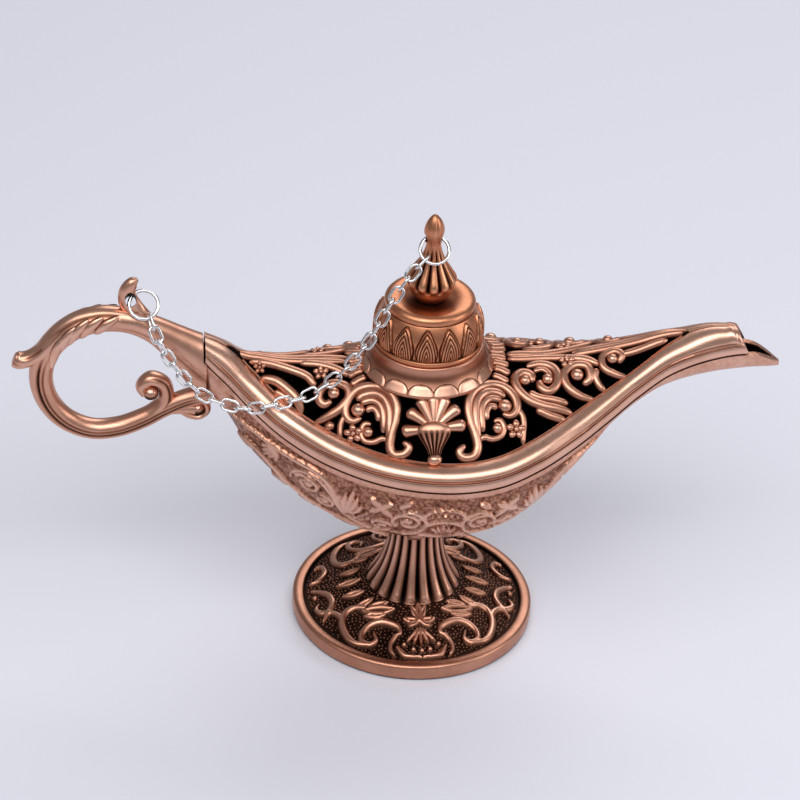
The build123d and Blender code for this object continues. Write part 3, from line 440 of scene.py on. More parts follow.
# Chased ornament: strokes drawn on a flat surface, read back as a height from 0 to 1
class Chasing:
    def __init__(self):
        self.strokes = []

    def line(self, points, width, height=1.0, taper=True):
        path = smooth_points(points, 6 * len(points))
        radii = np.full(len(path), width / 2)
        if taper:
            share = np.linspace(0, 1, len(path))
            radii = radii * (0.45 + 0.55 * np.minimum(1, 4 * np.minimum(share, 1 - share)))
        self.strokes.append((path, radii, height))

    def spiral(self, centre, radius, start, turns, width):
        """A stroke that winds in from its start angle to a ball in the middle."""
        share = np.linspace(0, 1, int(26 * abs(turns)) + 4)
        angle = math.radians(start) + share * turns * 2 * math.pi
        reach = radius * (1 - 0.82 * share)
        path = np.stack([centre[0] + reach * np.cos(angle), centre[1] + reach * np.sin(angle)], 1)
        self.strokes.append((path, np.full(len(path), width / 2) * (1 - 0.35 * share), 1.0))
        self.dot(centre, width * 0.72)

    def dot(self, centre, radius, height=1.0):
        self.strokes.append((np.array([centre, centre], float), np.full(2, radius), height))

    def leaf(self, root, tip, width, bend=0.0):
        """A pointed leaf with a dark middle vein."""
        root, tip = np.array(root, float), np.array(tip, float)
        side = np.array([-(tip - root)[1], (tip - root)[0]])
        share = np.linspace(0, 1, 12)[:, None]
        for sign in (-1, 1):
            bow = bend * share * (1 - share) + sign * 0.11 * np.sin(math.pi * share)
            path = root + (tip - root) * share + side * bow
            radii = width / 2 * (0.25 + 0.75 * np.sin(math.pi * share[:, 0]) ** 0.8)
            self.strokes.append((path, radii * 0.62, 0.9))

    def acanthus(self, root, tip, width, ribs):
        """A leaf of curved ribs that spread from its root."""
        root, tip = np.array(root, float), np.array(tip, float)
        side = np.array([-(tip - root)[1], (tip - root)[0]]) / np.linalg.norm(tip - root)
        for spread in np.linspace(-1, 1, ribs):
            end = tip - (tip - root) * 0.38 * abs(spread) + side * width * 0.62 * spread
            middle = root + (end - root) * 0.5 + side * width * 0.22 * spread
            self.line([root, middle, end], width * 0.34)

    def flower(self, centre, radius, petals, turn=0.0):
        for petal in range(petals):
            a = math.radians(turn) + petal * 2 * math.pi / petals
            tip = (centre[0] + radius * math.cos(a), centre[1] + radius * math.sin(a))
            self.leaf(centre, tip, radius * 0.62)
        self.dot(centre, radius * 0.24)

    def mirrored(self, middle):
        """Adds the same strokes on the other side of a line square to the first axis."""
        flip = np.array([-1, 1])
        shift = np.array([2 * middle, 0])
        self.strokes += [(path * flip + shift, radii, height) for path, radii, height in self.strokes]

    def turned(self, turns):
        """Repeats the strokes, turned about the origin."""
        first = list(self.strokes)
        for turn in turns:
            c, s = math.cos(math.radians(turn)), math.sin(math.radians(turn))
            spin = np.array([[c, s], [-s, c]])
            self.strokes += [(path @ spin, radii, height) for path, radii, height in first]

    def height(self, across, along):
        shape = across.shape
        p = np.stack([across.ravel(), along.ravel()], 1)
        out = np.zeros(len(p))
        for path, radii, height in self.strokes:
            reach = radii.max()
            low, high = path.min(0) - reach, path.max(0) + reach
            near = np.nonzero(((p > low) & (p < high)).all(1))[0]
            if not len(near):
                continue
            q = p[near]
            best = np.full(len(q), 9.0)
            for (a, b), r in zip(zip(path[:-1], path[1:]), (radii[:-1] + radii[1:]) / 2):
                way = b - a
                length = max(float(way @ way), 1e-12)
                t = np.clip((q - a) @ way / length, 0, 1)
                gap = q - a - t[:, None] * way
                best = np.minimum(best, np.hypot(gap[:, 0], gap[:, 1]) / r)
            out[near] = np.maximum(out[near], height * np.sqrt(np.clip(1 - best ** 2, 0, 1)))
        return out.reshape(shape)


# Materials
def node(tree, kind, inputs=None, **settings):
    made = tree.nodes.new(kind)
    for key, value in settings.items():
        setattr(made, key, value)
    for key, value in (inputs or {}).items():
        if isinstance(value, bpy.types.NodeSocket):
            tree.links.new(value, made.inputs[key])
        else:
            made.inputs[key].default_value = value
    return made


def colour_ramp(tree, factor, stops):
    ramp = node(tree, "ShaderNodeValToRGB", {"Fac": factor})
    elements = ramp.color_ramp.elements
    while len(elements) < len(stops):
        elements.new(0.5)
    for element, (place, colour) in zip(elements, stops):
        element.position = place
        element.color = colour
    return ramp


def maths(tree, operation, *values, clamp=False):
    """Result of one step of arithmetic on numbers or sockets."""
    step = node(tree, "ShaderNodeMath", dict(enumerate(values)), operation=operation, use_clamp=clamp)
    return step.outputs[0]


def noise(tree, place, scale, detail, roughness=0.5):
    inputs = {"Vector": place, "Scale": scale, "Detail": detail, "Roughness": roughness}
    return node(tree, "ShaderNodeTexNoise", inputs).outputs["Fac"]


def aged_copper_group():
    """Copper colour, roughness and fine height from the relief: dark recesses, worn ridges, brushing, and
    painted shade where a piece gives its undersides and insides a low relief.
    """
    tree = bpy.data.node_groups.new("aged_copper", "ShaderNodeTree")
    for name in ("Relief", "Darkening", "Pebbles", "Warmth"):
        tree.interface.new_socket(name, in_out="INPUT", socket_type="NodeSocketFloat")
    for name, kind in (("Colour", "Color"), ("Roughness", "Float"), ("Height", "Float")):
        tree.interface.new_socket(name, in_out="OUTPUT", socket_type="NodeSocket" + kind)
    ins = node(tree, "NodeGroupInput").outputs
    outs = node(tree, "NodeGroupOutput").inputs
    place = node(tree, "ShaderNodeTexCoord").outputs["Object"]
    blotch = noise(tree, place, 90.0, 4.0, 0.6)
    grain = noise(tree, place, 900.0, 3.0)
    drawn = node(tree, "ShaderNodeMapping", {"Vector": place, "Scale": (300.0, 1600.0, 2600.0)})
    brush = noise(tree, drawn.outputs["Vector"], 1.0, 2.0)
    cells = node(tree, "ShaderNodeTexVoronoi", {"Vector": place, "Scale": 1150.0}, feature="SMOOTH_F1")
    dome = maths(tree, "SUBTRACT", 0.55, cells.outputs["Distance"])
    low = maths(tree, "SUBTRACT", 1.0, ins["Relief"], clamp=True)
    ground = maths(tree, "MULTIPLY", low, ins["Pebbles"])
    pebbles = maths(tree, "MULTIPLY", dome, ground)
    spread = maths(tree, "MULTIPLY_ADD", blotch, 0.35, -0.175)
    worn = maths(tree, "ADD", ins["Relief"], spread)
    lifted = maths(tree, "MULTIPLY_ADD", pebbles, 1.25, worn)
    deep = maths(tree, "SUBTRACT", lifted, ins["Darkening"], clamp=True)
    tint = colour_ramp(tree, deep, [
        (0.0, (0.010, 0.005, 0.004, 1)), (0.22, (0.080, 0.032, 0.020, 1)), (0.5, (0.31, 0.130, 0.080, 1)),
        (0.78, (0.60, 0.300, 0.205, 1)), (1.0, (0.80, 0.480, 0.360, 1)),
    ])
    warm = node(tree, "ShaderNodeMix", {
        0: ins["Warmth"], 6: tint.outputs["Color"], 7: (1.0, 0.84, 0.66, 1),
    }, data_type="RGBA", blend_type="MULTIPLY")
    rough = node(tree, "ShaderNodeMapRange", {"Value": deep, "To Min": 0.46, "To Max": 0.22})
    uneven = maths(tree, "MULTIPLY_ADD", brush, 0.14, rough.outputs["Result"])
    fine = maths(tree, "MULTIPLY_ADD", grain, 0.10, maths(tree, "MULTIPLY", brush, 0.05))
    height = maths(tree, "MULTIPLY_ADD", pebbles, 1.3, fine)
    for name, socket in (("Colour", warm.outputs[2]), ("Roughness", uneven), ("Height", height)):
        tree.links.new(socket, outs[name])
    return tree


AGED_COPPER = aged_copper_group()


def metal(name):
    """A new material, its tree and its shader, fully metallic."""
    material = bpy.data.materials.new(name)
    material.use_nodes = True
    shader = material.node_tree.nodes["Principled BSDF"]
    shader.inputs["Metallic"].default_value = 1.0
    return material, material.node_tree, shader


def dress(tree, shader, colour, roughness, height, strength, distance):
    """Gives a shader its colour, its roughness and a normal from a fine height."""
    raised = node(tree, "ShaderNodeBump", {"Height": height, "Strength": strength, "Distance": distance})
    tree.links.new(colour, shader.inputs["Base Color"])
    tree.links.new(roughness, shader.inputs["Roughness"])
    tree.links.new(raised.outputs["Normal"], shader.inputs["Normal"])


def copper(name, darkening=0.0, pebbles=0.0, bump=0.25, warmth=0.0):
    """Aged copper that follows the relief of its piece."""
    material, tree, shader = metal(name)
    relief = node(tree, "ShaderNodeAttribute", attribute_name="relief")
    aged = node(tree, "ShaderNodeGroup", node_tree=AGED_COPPER)
    tree.links.new(relief.outputs["Fac"], aged.inputs["Relief"])
    for label, value in (("Darkening", darkening), ("Pebbles", pebbles), ("Warmth", warmth)):
        aged.inputs[label].default_value = value
    made = aged.outputs
    dress(tree, shader, made["Colour"], made["Roughness"], made["Height"], bump, 0.0004)
    return material


def plated(name, colour, roughness, scale):
    """Bright plated wire or plain steel, with faint handling marks."""
    material, tree, shader = metal(name)
    marks = noise(tree, node(tree, "ShaderNodeTexCoord").outputs["Object"], scale, 3.0)
    low = tuple(0.72 * c for c in colour) + (1,)
    tint = colour_ramp(tree, marks, [(0.3, low), (0.6, tuple(colour) + (1,))])
    rough = node(tree, "ShaderNodeMapRange", {
        "Value": marks, "To Min": roughness * 0.7, "To Max": roughness * 1.5,
    })
    dress(tree, shader, tint.outputs["Color"], rough.outputs["Result"], marks, 0.08, 0.0002)
    return material


SMOOTH_COPPER = copper("smooth_copper", bump=0.07)
BOWL_COPPER = copper("chased_bowl_copper", darkening=0.02, pebbles=1.0, bump=0.9)
FOOT_COPPER = copper("chased_foot_copper", darkening=0.12, bump=0.15)
SCROLL_COPPER = copper("scrollwork_copper", darkening=0.12, bump=0.08)
LID_COPPER = copper("lid_copper", darkening=0.06, bump=0.08, warmth=1.0)
NICKEL = plated("bright_nickel_wire", (0.86, 0.86, 0.87), 0.16, 1500.0)
STEEL = plated("zinc_plated_steel", (0.62, 0.62, 0.63), 0.32, 700.0)


# Repeated things: rings of equal pieces, and pebbles strewn over the bare ground
def tree_with(name, sockets):
    """A geometry tree with its named inputs and one geometry output."""
    tree = bpy.data.node_groups.new(name, "GeometryNodeTree")
    tree.interface.new_socket("Geometry", in_out="INPUT", socket_type="NodeSocketGeometry")
    for label, kind in sockets:
        tree.interface.new_socket(label, in_out="INPUT", socket_type=kind)
    tree.interface.new_socket("Geometry", in_out="OUTPUT", socket_type="NodeSocketGeometry")
    return tree, node(tree, "NodeGroupInput").outputs, node(tree, "NodeGroupOutput")


def finish_tree(tree, ins, outs, instances):
    real = node(tree, "GeometryNodeRealizeInstances", {"Geometry": instances})
    dressed = node(tree, "GeometryNodeSetMaterial", {"Geometry": real.outputs[0], "Material": ins["Copper"]})
    tree.links.new(dressed.outputs[0], outs.inputs[0])
    return tree


def ring_tree():
    """Equal copies of one piece around the upright axis."""
    tree, ins, outs = tree_with("ring_of_pieces", [
        ("Count", "NodeSocketInt"), ("First Angle", "NodeSocketFloat"), ("Copper", "NodeSocketMaterial"),
    ])
    places = node(tree, "GeometryNodePoints", {"Count": ins["Count"]})
    step = maths(tree, "DIVIDE", 2 * math.pi, ins["Count"])
    number = node(tree, "GeometryNodeInputIndex").outputs[0]
    angle = maths(tree, "MULTIPLY_ADD", number, step, ins["First Angle"])
    turn = node(tree, "ShaderNodeCombineXYZ", {"Z": angle})
    copies = node(tree, "GeometryNodeInstanceOnPoints", {
        "Points": places.outputs[0], "Instance": ins["Geometry"], "Rotation": turn.outputs[0],
    })
    return finish_tree(tree, ins, outs, copies.outputs[0])


def pebble_tree():
    """Small domes of uneven size, strewn where the ground carries no ornament."""
    tree, ins, outs = tree_with("pebbled_ground", [
        ("Spacing", "NodeSocketFloat"), ("Dome Radius", "NodeSocketFloat"), ("Tone", "NodeSocketFloat"),
        ("Seed", "NodeSocketInt"), ("Copper", "NodeSocketMaterial"),
    ])
    raised = node(tree, "GeometryNodeInputNamedAttribute", {"Name": "relief"}, data_type="FLOAT")
    bare = node(tree, "FunctionNodeCompare", {0: raised.outputs[0], 1: 0.04}, data_type="FLOAT",
                operation="LESS_THAN")
    places = node(tree, "GeometryNodeDistributePointsOnFaces", {
        "Mesh": ins["Geometry"], "Selection": bare.outputs[0], "Distance Min": ins["Spacing"],
        "Density Max": 4.0e6, "Seed": ins["Seed"],
    }, distribute_method="POISSON")
    dome = node(tree, "GeometryNodeMeshIcoSphere", {"Radius": ins["Dome Radius"], "Subdivisions": 1})
    size = node(tree, "FunctionNodeRandomValue", {2: 0.75, 3: 1.2, "Seed": ins["Seed"]}, data_type="FLOAT")
    domes = node(tree, "GeometryNodeInstanceOnPoints", {
        "Points": places.outputs["Points"], "Instance": dome.outputs["Mesh"], "Scale": size.outputs[1],
    })
    real = node(tree, "GeometryNodeRealizeInstances", {"Geometry": domes.outputs[0]})
    toned = node(tree, "GeometryNodeStoreNamedAttribute", {
        "Geometry": real.outputs[0], "Name": "relief", "Value": ins["Tone"],
    }, data_type="FLOAT", domain="POINT")
    return finish_tree(tree, ins, outs, toned.outputs[0])


RING_OF_PIECES = ring_tree()
PEBBLED_GROUND = pebble_tree()


def grown(mesh, tree, **values):
    """The plain mesh that a tree makes from a mesh and its named inputs."""
    carrier = placed("carrier", mesh)
    modifier = carrier.modifiers.new("made", "NODES")
    modifier.node_group = tree
    for item in tree.interface.items_tree:
        label = item.name.replace(" ", "_")
        if item.in_out == "INPUT" and label in values:
            modifier[item.identifier] = values[label]
    return evaluated(carrier)


# Bowl
def bowl_ornament():
    """Vines, leaves, scrolls and the beaded cartouche: places along the lamp and down from the seam."""
    art = Chasing()
    for vine, width in (
        ([(-50.5, 7.5), (-45.4, 5.8), (-39.6, 4.6), (-33.5, 3.9), (-29.5, 3.8), (-26.2, 6.2), (-24, 11.5),
          (-20.4, 17.5), (-16.1, 19.9), (-12.2, 19.2)], 1.7),
        ([(-35.6, 12.2), (-35.0, 8.4), (-32.5, 6.0), (-28.9, 5.9), (-25.6, 9.4), (-22.4, 15.6),
          (-19.4, 19.2)], 1.3),
        ([(-47, 11.5), (-42, 12.5), (-37.5, 15.5), (-32, 19.0), (-26, 21.0), (-19, 23.0), (-11, 24.0)], 1.8),
        ([(-9.2, 9.2), (-6.0, 7.2), (-2.8, 8.8), (-1.6, 12.4), (-3.0, 16.6), (-6.6, 18.8),
          (-10.4, 18.6)], 1.5),
    ):
        art.line(vine, width)
    for centre, radius, start, turns, width in (
        ((-12.8, 15.8), 3.2, 80, -1.5, 1.5), ((-31.4, 10.2), 3.0, 200, 1.6, 1.4),
        ((-27.0, 14.0), 2.7, 250, 1.5, 1.4), ((-6.2, 11.9), 4.0, 140, 1.45, 1.7),
    ):
        art.spiral(centre, radius, start, turns, width)
    for root, tip, width, ribs in (
        ((-39.5, 5.2), (-42.4, 11.0), 3.0, 5), ((-36.5, 16.4), (-39.2, 21.6), 2.8, 5),
        ((-30.0, 20.0), (-31.4, 26.0), 3.0, 5), ((-21.8, 15.6), (-20.4, 4.6), 4.6, 5),
        ((-19.4, 16.6), (-15.8, 10.6), 2.8, 3), ((-10.0, 25.2), (-13.4, 31.0), 3.0, 5),
        ((-19.0, 24.2), (-23.4, 29.6), 3.0, 5),
    ):
        art.acanthus(root, tip, width, ribs)
    for root, tip, width in (
        ((-44.5, 11.6), (-48.4, 15.6), 2.6), ((-9.0, 6.2), (-5.6, 3.9), 1.9),
        ((-2.0, 20.4), (-4.4, 27.0), 3.0),
    ):
        art.leaf(root, tip, width)
    art.flower((-13.2, 7.7), 3.9, 4, 45)
    for arch, width in (
        ([(-3.2, 9.6), (-0.6, 6.4), (2.9, 5.2)], 1.2), ([(-1.6, 12.8), (0.4, 10.9), (2.9, 10.3)], 1.4),
        ([(-4.0, 18.0), (-0.4, 18.9), (2.9, 19.2)], 1.5),
    ):
        art.line(arch, width, taper=False)
    for bead in range(4):
        art.dot((2.9 - 1.55 * bead, 7.7 + 0.13 * bead ** 2), 0.52)
    for ray in range(3):
        art.line([(2.9 - 0.55 * ray, 16.6), (2.9 - 1.5 * ray, 12.9 + 0.3 * ray)], 1.0)
    art.mirrored(BODY_MID_X)
    return art


def close_end(shape, loop, tone, middle_tone):
    """Closes a loop of points towards its middle."""
    loop = np.concatenate([loop, loop[:1]])
    tone = np.append(tone, tone[0])
    middle = np.broadcast_to(loop.mean(0), loop.shape)
    shape.grid(np.stack([loop, middle]), np.stack([tone, np.full(len(tone), middle_tone)]))


def close_bowl(shape, x, y, z):
    """Inner wall of the bowl, edges along the seam, both ends and the boss over the stem."""
    inner_x = np.linspace(BACK_X + 3.0, TIP_X - 1.0, len(x))[:, None]
    thin = np.maximum(half_width(inner_x) - BOWL_WALL, 0.2)
    top = seam_z(inner_x)
    bottom = np.minimum(keel_z(inner_x) + BOWL_WALL, top - 0.3)
    turn = np.linspace(0, math.pi, 16)[None]
    depth = (top - bottom) * np.sin(turn) ** 0.8
    inside = np.stack([inner_x + 0 * turn, thin * np.cos(turn), top - depth], -1)
    # Painted shade: the inner wall is in deep shade and its edges along the seam in half shade.
    dark = np.full(inside.shape[:2], INSIDE_SHADE)
    dark[:, [0, -1]] = SHADED
    shape.grid(inside, dark)
    for side, sign in ((0, 1.0), (-1, -1.0)):
        outer = np.stack([x[:, 0], sign * y[:, 0], z[:, 0]], -1)
        shape.grid(np.stack([outer, inside[:, side]], 1), [PLAIN, SHADED])
    for end in (0, -1):
        half = np.stack([0 * y[end] + x[end, 0], y[end], z[end]], -1)
        other = half * (1, -1, 1)
        outline = np.concatenate([half, other[::-1]])
        close_end(shape, outline, np.full(len(outline), PLAIN), 0.5)
        close_end(shape, inside[end], dark[end], INSIDE_SHADE)
        shape.grid(np.stack([np.stack([half[0], other[0]]), inside[end][[0, -1]]]), [[PLAIN], [SHADED]])
    # Painted shade: the boss under the bowl is in half shade.
    shape.lathe([
        (0.0, 36.0), (2.0, 36.0), (2.0, 30.02), (8.5, 30.02), (8.9, 30.6), (8.9, 31.6), (8.6, 32.6),
        (8.4, 34.0), (4.6, 34.0), (4.6, 38.6), (0.0, 38.6),
    ], 96, 0.5)


def make_bowl():
    """Lower shell with its chased ornament, plain towards handle and spout."""
    rows, columns = 420, 104
    x = np.linspace(BACK_X, TIP_X, rows)[:, None]
    u = np.linspace(0, 1, columns)[None]
    wide, high, low = half_width(x), seam_z(x), np.minimum(keel_z(x), seam_z(x) - 0.4)
    y = bezier(u, wide, wide, wide * BOWL_FULLNESS, 0.0)
    z = bezier(u, high, high - (high - low) * BOWL_FULLNESS, low, low)
    steps = np.hypot(np.diff(y, axis=1), np.diff(z, axis=1))
    down = np.concatenate([np.zeros((rows, 1)), np.cumsum(steps, 1)], 1)
    art = bowl_ornament().height(x + 0 * u, down)
    chased = ease(x, *CHASED_FROM) * (1 - ease(x, *CHASED_TO)) * ease(down, 1.3, 2.2)
    tone = 0.53 + 0.45 * art - 0.40 * bell(art, 0.16, 0.12)
    relief = PLAIN + (tone - PLAIN) * chased
    out = chased * (0.95 * art ** 0.8 - 0.45) * ease(y, 0.0, 3.0)
    shape = Shape()
    for sign in (-1.0, 1.0):
        points = np.stack([x + 0 * u, sign * y, z], -1)
        normal = np.cross(np.gradient(points, axis=0), np.gradient(points, axis=1))
        normal = normal / np.maximum(np.linalg.norm(normal, axis=-1, keepdims=True), 1e-9)
        normal = normal * np.sign((normal * (0, sign, -0.4)).sum(-1, keepdims=True) + 1e-12)
        shape.grid(points + normal * out[..., None], relief)
    close_bowl(shape, x, y, z)
    return shape.piece("chased_bowl", "lamp", BOWL_COPPER, "antique_copper", "bowl")


make_bowl()


# Pedestal foot with fluted stem
def polar(angle, radius):
    """Place on the foot in plan, by its angle from the front and its distance from the middle."""
    return (radius * math.sin(math.radians(angle)), -radius * math.cos(math.radians(angle)))


def add_polar(art, strokes, leaves, dots):
    """Strokes, leaves and dots whose places are angles and distances."""
    for places, width in strokes:
        art.line([polar(*place) for place in places], width * FOOT_STROKE_FULLNESS)
    for root, tip, width, bend in leaves:
        art.leaf(polar(*root), polar(*tip), width, bend)
    for place, radius in dots:
        art.dot(polar(*place), radius)


def foot_ornament():
    """Front and back motif, then the smaller scrolls at both sides, in plan with the spout to the right."""
    art = Chasing()
    add_polar(art, [
        ([(19, 22.2), (15, 21.2), (17, 19.5), (24, 18.8), (33, 19.2), (39, 21.4), (39.5, 24.2), (36, 26.2),
          (31, 26.2), (29, 24.4), (32, 23.0)], 1.6),
        ([(16, 21.4), (19, 23.6), (18.5, 26.2), (15, 28.2)], 1.2),
        ([(31, 26.6), (40, 27.5), (48, 26.4), (56, 24.4), (61, 22.0), (60, 19.6), (52, 17.8)], 1.9),
        ([(15, 25.2), (9, 27.5), (0, 28.2)], 1.6),
    ], [
        ((52, 18.8), (25, 14.9), 2.6, 0.12), ((50, 17.0), (35, 13.7), 2.1, 0.1),
        ((47, 19.8), (31, 17.2), 2.0, -0.1), ((59, 19.4), (53, 14.4), 2.1, 0.1),
        ((0, 17.2), (14.5, 17.0), 2.0, -0.2), ((0, 17.2), (8.5, 13.2), 1.9, 0.0),
        ((0, 17.2), (9.5, 19.0), 1.8, 0.0),
    ], [((5, 25.4), 0.75), ((11, 24.2), 0.75)])
    for ray in range(1, 3):
        art.line([polar(1.0 * ray, 19.6), polar(4.6 * ray, 23.7 - 0.2 * ray)], 1.1)
    art.mirrored(0.0)
    add_polar(art, [], [((0, 17.2), (0, 12.4), 2.2, 0.0)], [((0, 25.7), 0.75), ((0, 17.2), 0.9)])
    art.line([polar(0, 19.4), polar(0, 24.0)], 1.1)
    art.turned((180,))
    side = Chasing()
    add_polar(side, [
        ([(-92, 27.2), (-90, 25.2), (-84, 23.0), (-75, 23.0), (-70, 25.6), (-75, 27.5), (-79, 26.2)], 1.6),
        ([(-65, 27.6), (-69, 25.1), (-63, 23.6), (-56, 24.2)], 1.4),
        ([(-99, 27.6), (-103, 25.2), (-111, 24.6), (-116, 26.6), (-113, 27.8)], 1.5),
    ], [
        ((-76, 20.0), (-68, 14.6), 2.2, 0.1), ((-90, 20.6), (-88, 14.2), 2.2, 0.1),
        ((-104, 20.0), (-108, 14.6), 2.2, -0.1),
    ], [((-86, 26.6), 0.9)])
    side.mirrored(0.0)
    art.strokes += side.strokes
    return art


def make_foot():
    art = foot_ornament()
    ground_out, ground_in = FOOT_RADIUS - 3.6, FOOT_DOME_INNER_RADIUS
    under = [
        (2.2, STEM_TOP_Z), (2.2, 9.0), (4.8, 9.0), (4.8, 2.0), (27.0, 2.0), (29.0, 0.0), (31.7, 0.0),
        (32.05, 0.25),
    ]
    rim = [
        (FOOT_RADIUS, 0.7), (FOOT_RADIUS, 3.6), (31.95, 4.1), (31.4, 4.38), (30.6, FOOT_EDGE), (29.7, 4.36),
        (29.25, 4.1), (29.0, 3.5),
    ]

    def ground_z(r):
        return FOOT_DOME_LOW + FOOT_DOME_RISE * np.clip((ground_out - r) / 16.0, 0, 1) ** 1.25

    ground = [(r, float(ground_z(r))) for r in np.linspace(ground_out, ground_in, 64)]
    stem_rows = smooth_points([
        (12.2, 10.0), (11.7, 10.8), (10.6, 12.4), (9.2, 15.2), (7.9, 19.2), (7.0, 23.4), (6.6, 27.0),
        (6.7, 29.9),
    ], 44)
    outline = under + rim + ground + stem_rows.tolist() + [(2.2, STEM_TOP_Z)]
    first_ground, first_stem = len(under) + len(rim), len(under) + len(rim) + len(ground)
    last_stem = first_stem + len(stem_rows)

    def chase(turn, r, z):
        relief = np.full(r.shape, 0.8)
        # Painted shade: the underside and the bore are darker.
        relief[:len(under)] = 0.35
        relief[first_ground - 2:first_ground] = 0.15
        zone = slice(first_ground, first_stem)
        height = art.height(r[zone] * np.cos(turn[zone]), r[zone] * np.sin(turn[zone]))
        fade = 1 - ease(r[zone], 27.9, 28.6)
        z[zone] += fade * 1.15 * height
        relief[zone] = 0.22 + 0.80 * (height * fade) ** 1.6 - 0.2 * bell(height, 0.15, 0.12)
        zone = slice(first_stem, last_stem)
        wave = np.abs(np.cos(turn[zone] * STEM_FLUTES / 2))
        lobe = 1 - (1 - wave) ** 1.4
        strength = 0.45 + 0.55 * ease(r[zone], 7.4, 10.6)
        tip = 0.35 + 0.65 * ease(z[zone], 9.9, 11.6)
        r[zone] += (lobe - 0.62) * 1.7 * strength * tip * (1 - ease(z[zone], 29.0, 29.9))
        # Painted highlight and shade: bright flute crests and dark valleys.
        relief[zone] = 0.12 + 0.84 * lobe ** 2.4
        return r, z, relief

    shape = Shape()
    shape.lathe(outline, 520, offset=chase)
    reach = np.linspace(ground_in + 0.3, ground_out - 0.3, 60)[:, None]
    points = ring_points(reach, around(360), ground_z(reach))
    bare = Shape()
    bare.grid(points, art.height(points[..., 0], points[..., 1]), close_columns=True)
    pebbles = grown(
        bare.mesh("bare_ground"), PEBBLED_GROUND, Spacing=PEBBLE_SPACING * MM, Dome_Radius=PEBBLE_RADIUS * MM,
        Tone=PEBBLE_TONE, Seed=PEBBLE_SEED, Copper=FOOT_COPPER,
    )
    return finish_piece(
        joined([shape.mesh("foot"), pebbles], "chased_foot"),
        "chased_foot", "lamp", FOOT_COPPER, "antique_copper", "pedestal_foot",
    )


make_foot()


# Pierced cover
def rim_profile(x, u):
    """Half width and height of the plain moulding, from its foot at u = 0 over ledge and step to its lip."""
    wide, base, lip = half_width(x), seam_z(x) + SEAM_GAP, lip_z(x)
    inner = opening_half_width(x)
    ledge = base + LEDGE_HEIGHT
    start = wide - LEDGE_STEP
    breadth = start - inner
    v = np.clip((u - STEP_END) / (1 - STEP_END), 0, 1)
    round_y = bezier(v, start, inner + breadth * 0.85, inner + breadth * 0.4, inner)
    rise = ledge + LEDGE_STEP + (lip - ledge) * 0.75
    round_z = bezier(v, ledge + LEDGE_STEP, rise, lip, lip)
    step = LEDGE_STEP * np.clip((u - LEDGE_END) / (STEP_END - LEDGE_END), 0, 1)
    y = np.where(u < LEDGE_END, wide, np.where(u < STEP_END, wide - step, round_y))
    upper_z = np.where(u < STEP_END, ledge + step, round_z)
    return y, np.where(u < LEDGE_END, base + LEDGE_HEIGHT * u / LEDGE_END, upper_z)


def rim_underside(x):
    """Half widths and heights under the moulding, from the lip down to the seam."""
    wide, lip, base = half_width(x), lip_z(x), seam_z(x) + SEAM_GAP
    hollow = wide - np.minimum(COVER_WALL, 0.4 * wide)
    inner = opening_half_width(x)
    shelf = np.maximum(np.minimum(inner, hollow - 0.2), 0.0)
    under_lip = lip - LIP_THICKNESS
    y = np.concatenate([inner, inner, shelf, hollow, hollow], 1)
    return y, np.concatenate([lip - 0.8, under_lip, under_lip, base + LEDGE_HEIGHT, base], 1)


def make_rim():
    """Moulding around the opening: ledge, fine bead lines, broad round, groove and bright lip."""
    shape = Shape()
    rows, columns = 330, 64
    u = np.linspace(0, 1, columns)[None]
    share = np.linspace(0, 1, rows)[:, None]
    z_end = rim_profile(np.full((1, 1), CUT_PROFILE_X), u)[1]
    lean = math.tan(math.radians(SPOUT_CUT_LEAN))
    end_x = np.minimum(SPOUT_CUT_X - (z_end - SEAM_Z - SEAM_RISE) * lean, CUT_LIMIT_X)
    x = BACK_X + (end_x - BACK_X) * share
    y, z = rim_profile(x, u)
    dy, dz = np.gradient(y, axis=1), np.gradient(z, axis=1)
    size = np.maximum(np.hypot(dy, dz), 1e-9)
    bead = sum(height * bell(u, place, width) for place, width, height in RIM_BEADS)
    groove = RIM_GROOVE_DEPTH * sum(bell(u, place, width) for place, width in RIM_GROOVES)
    ledge_round = 0.22 * np.sin(math.pi * np.clip(u / 0.2, 0, 1)) - 0.22
    keep = 0.35 + 0.65 * ease(half_width(x), 3.5, 8.0)
    edge_bead = 0.45 * bell(share, 0.988, 0.008) * ease(u, 0.3, 0.4)
    out = (bead - groove) * keep + ledge_round + edge_bead
    y = np.maximum(y + dz / size * out, 0.0)
    z = z - dy / size * out
    relief = np.clip(0.95 - 2.8 * groove + 0.6 * bead, 0.02, 1.0) + 0 * x
    relief = np.where(u < 0.02, 0.2, relief)
    under_y, under_z = rim_underside(x[:, -1:])
    under_x = x[:, -1:] + 0 * under_y
    for sign in (-1.0, 1.0):
        top = np.stack([x, sign * y, z], -1)
        below = np.stack([under_x, sign * under_y, under_z], -1)
        ring = np.concatenate([top, below], 1)
        # Painted shade: the underside of the moulding is almost black.
        dark = np.concatenate([relief, np.full(under_y.shape, 0.05)], 1)
        shape.grid(ring, dark, close_columns=True, cap_ends=True)
        mouth_edge(shape, top[-1, columns // 4:] - (1.1, 0.0, 0.0))
    return shape


def mouth_edge(shape, path):
    """A rounded edge band along the slanted end of the rim."""
    forward = np.broadcast_to((1.0, 0.0, 0.0), path.shape)
    out = unit(np.cross(np.gradient(path, axis=0), forward))
    turn = around(16) + 0 * path[:, :1]
    shape.tube(path, forward, out, 1.15 * np.cos(turn), 0.55 * np.sin(turn), 0.9)


def deck_frame(path):
    """Points on the deck over a plan path, with the deck's upward and the path's sideways directions."""
    x, y = path[:, 0], path[:, 1]
    step = 0.2
    slope_x = (deck_z(x + step, y) - deck_z(x - step, y)) / (2 * step)
    slope_y = (deck_z(x, y + step) - deck_z(x, y - step)) / (2 * step)
    up = unit(np.stack([-slope_x, -slope_y, 0 * x + 1], 1))
    points = np.stack([x, y, deck_z(x, y)], 1)
    return points, up, unit(np.cross(up, np.gradient(points, axis=0)))


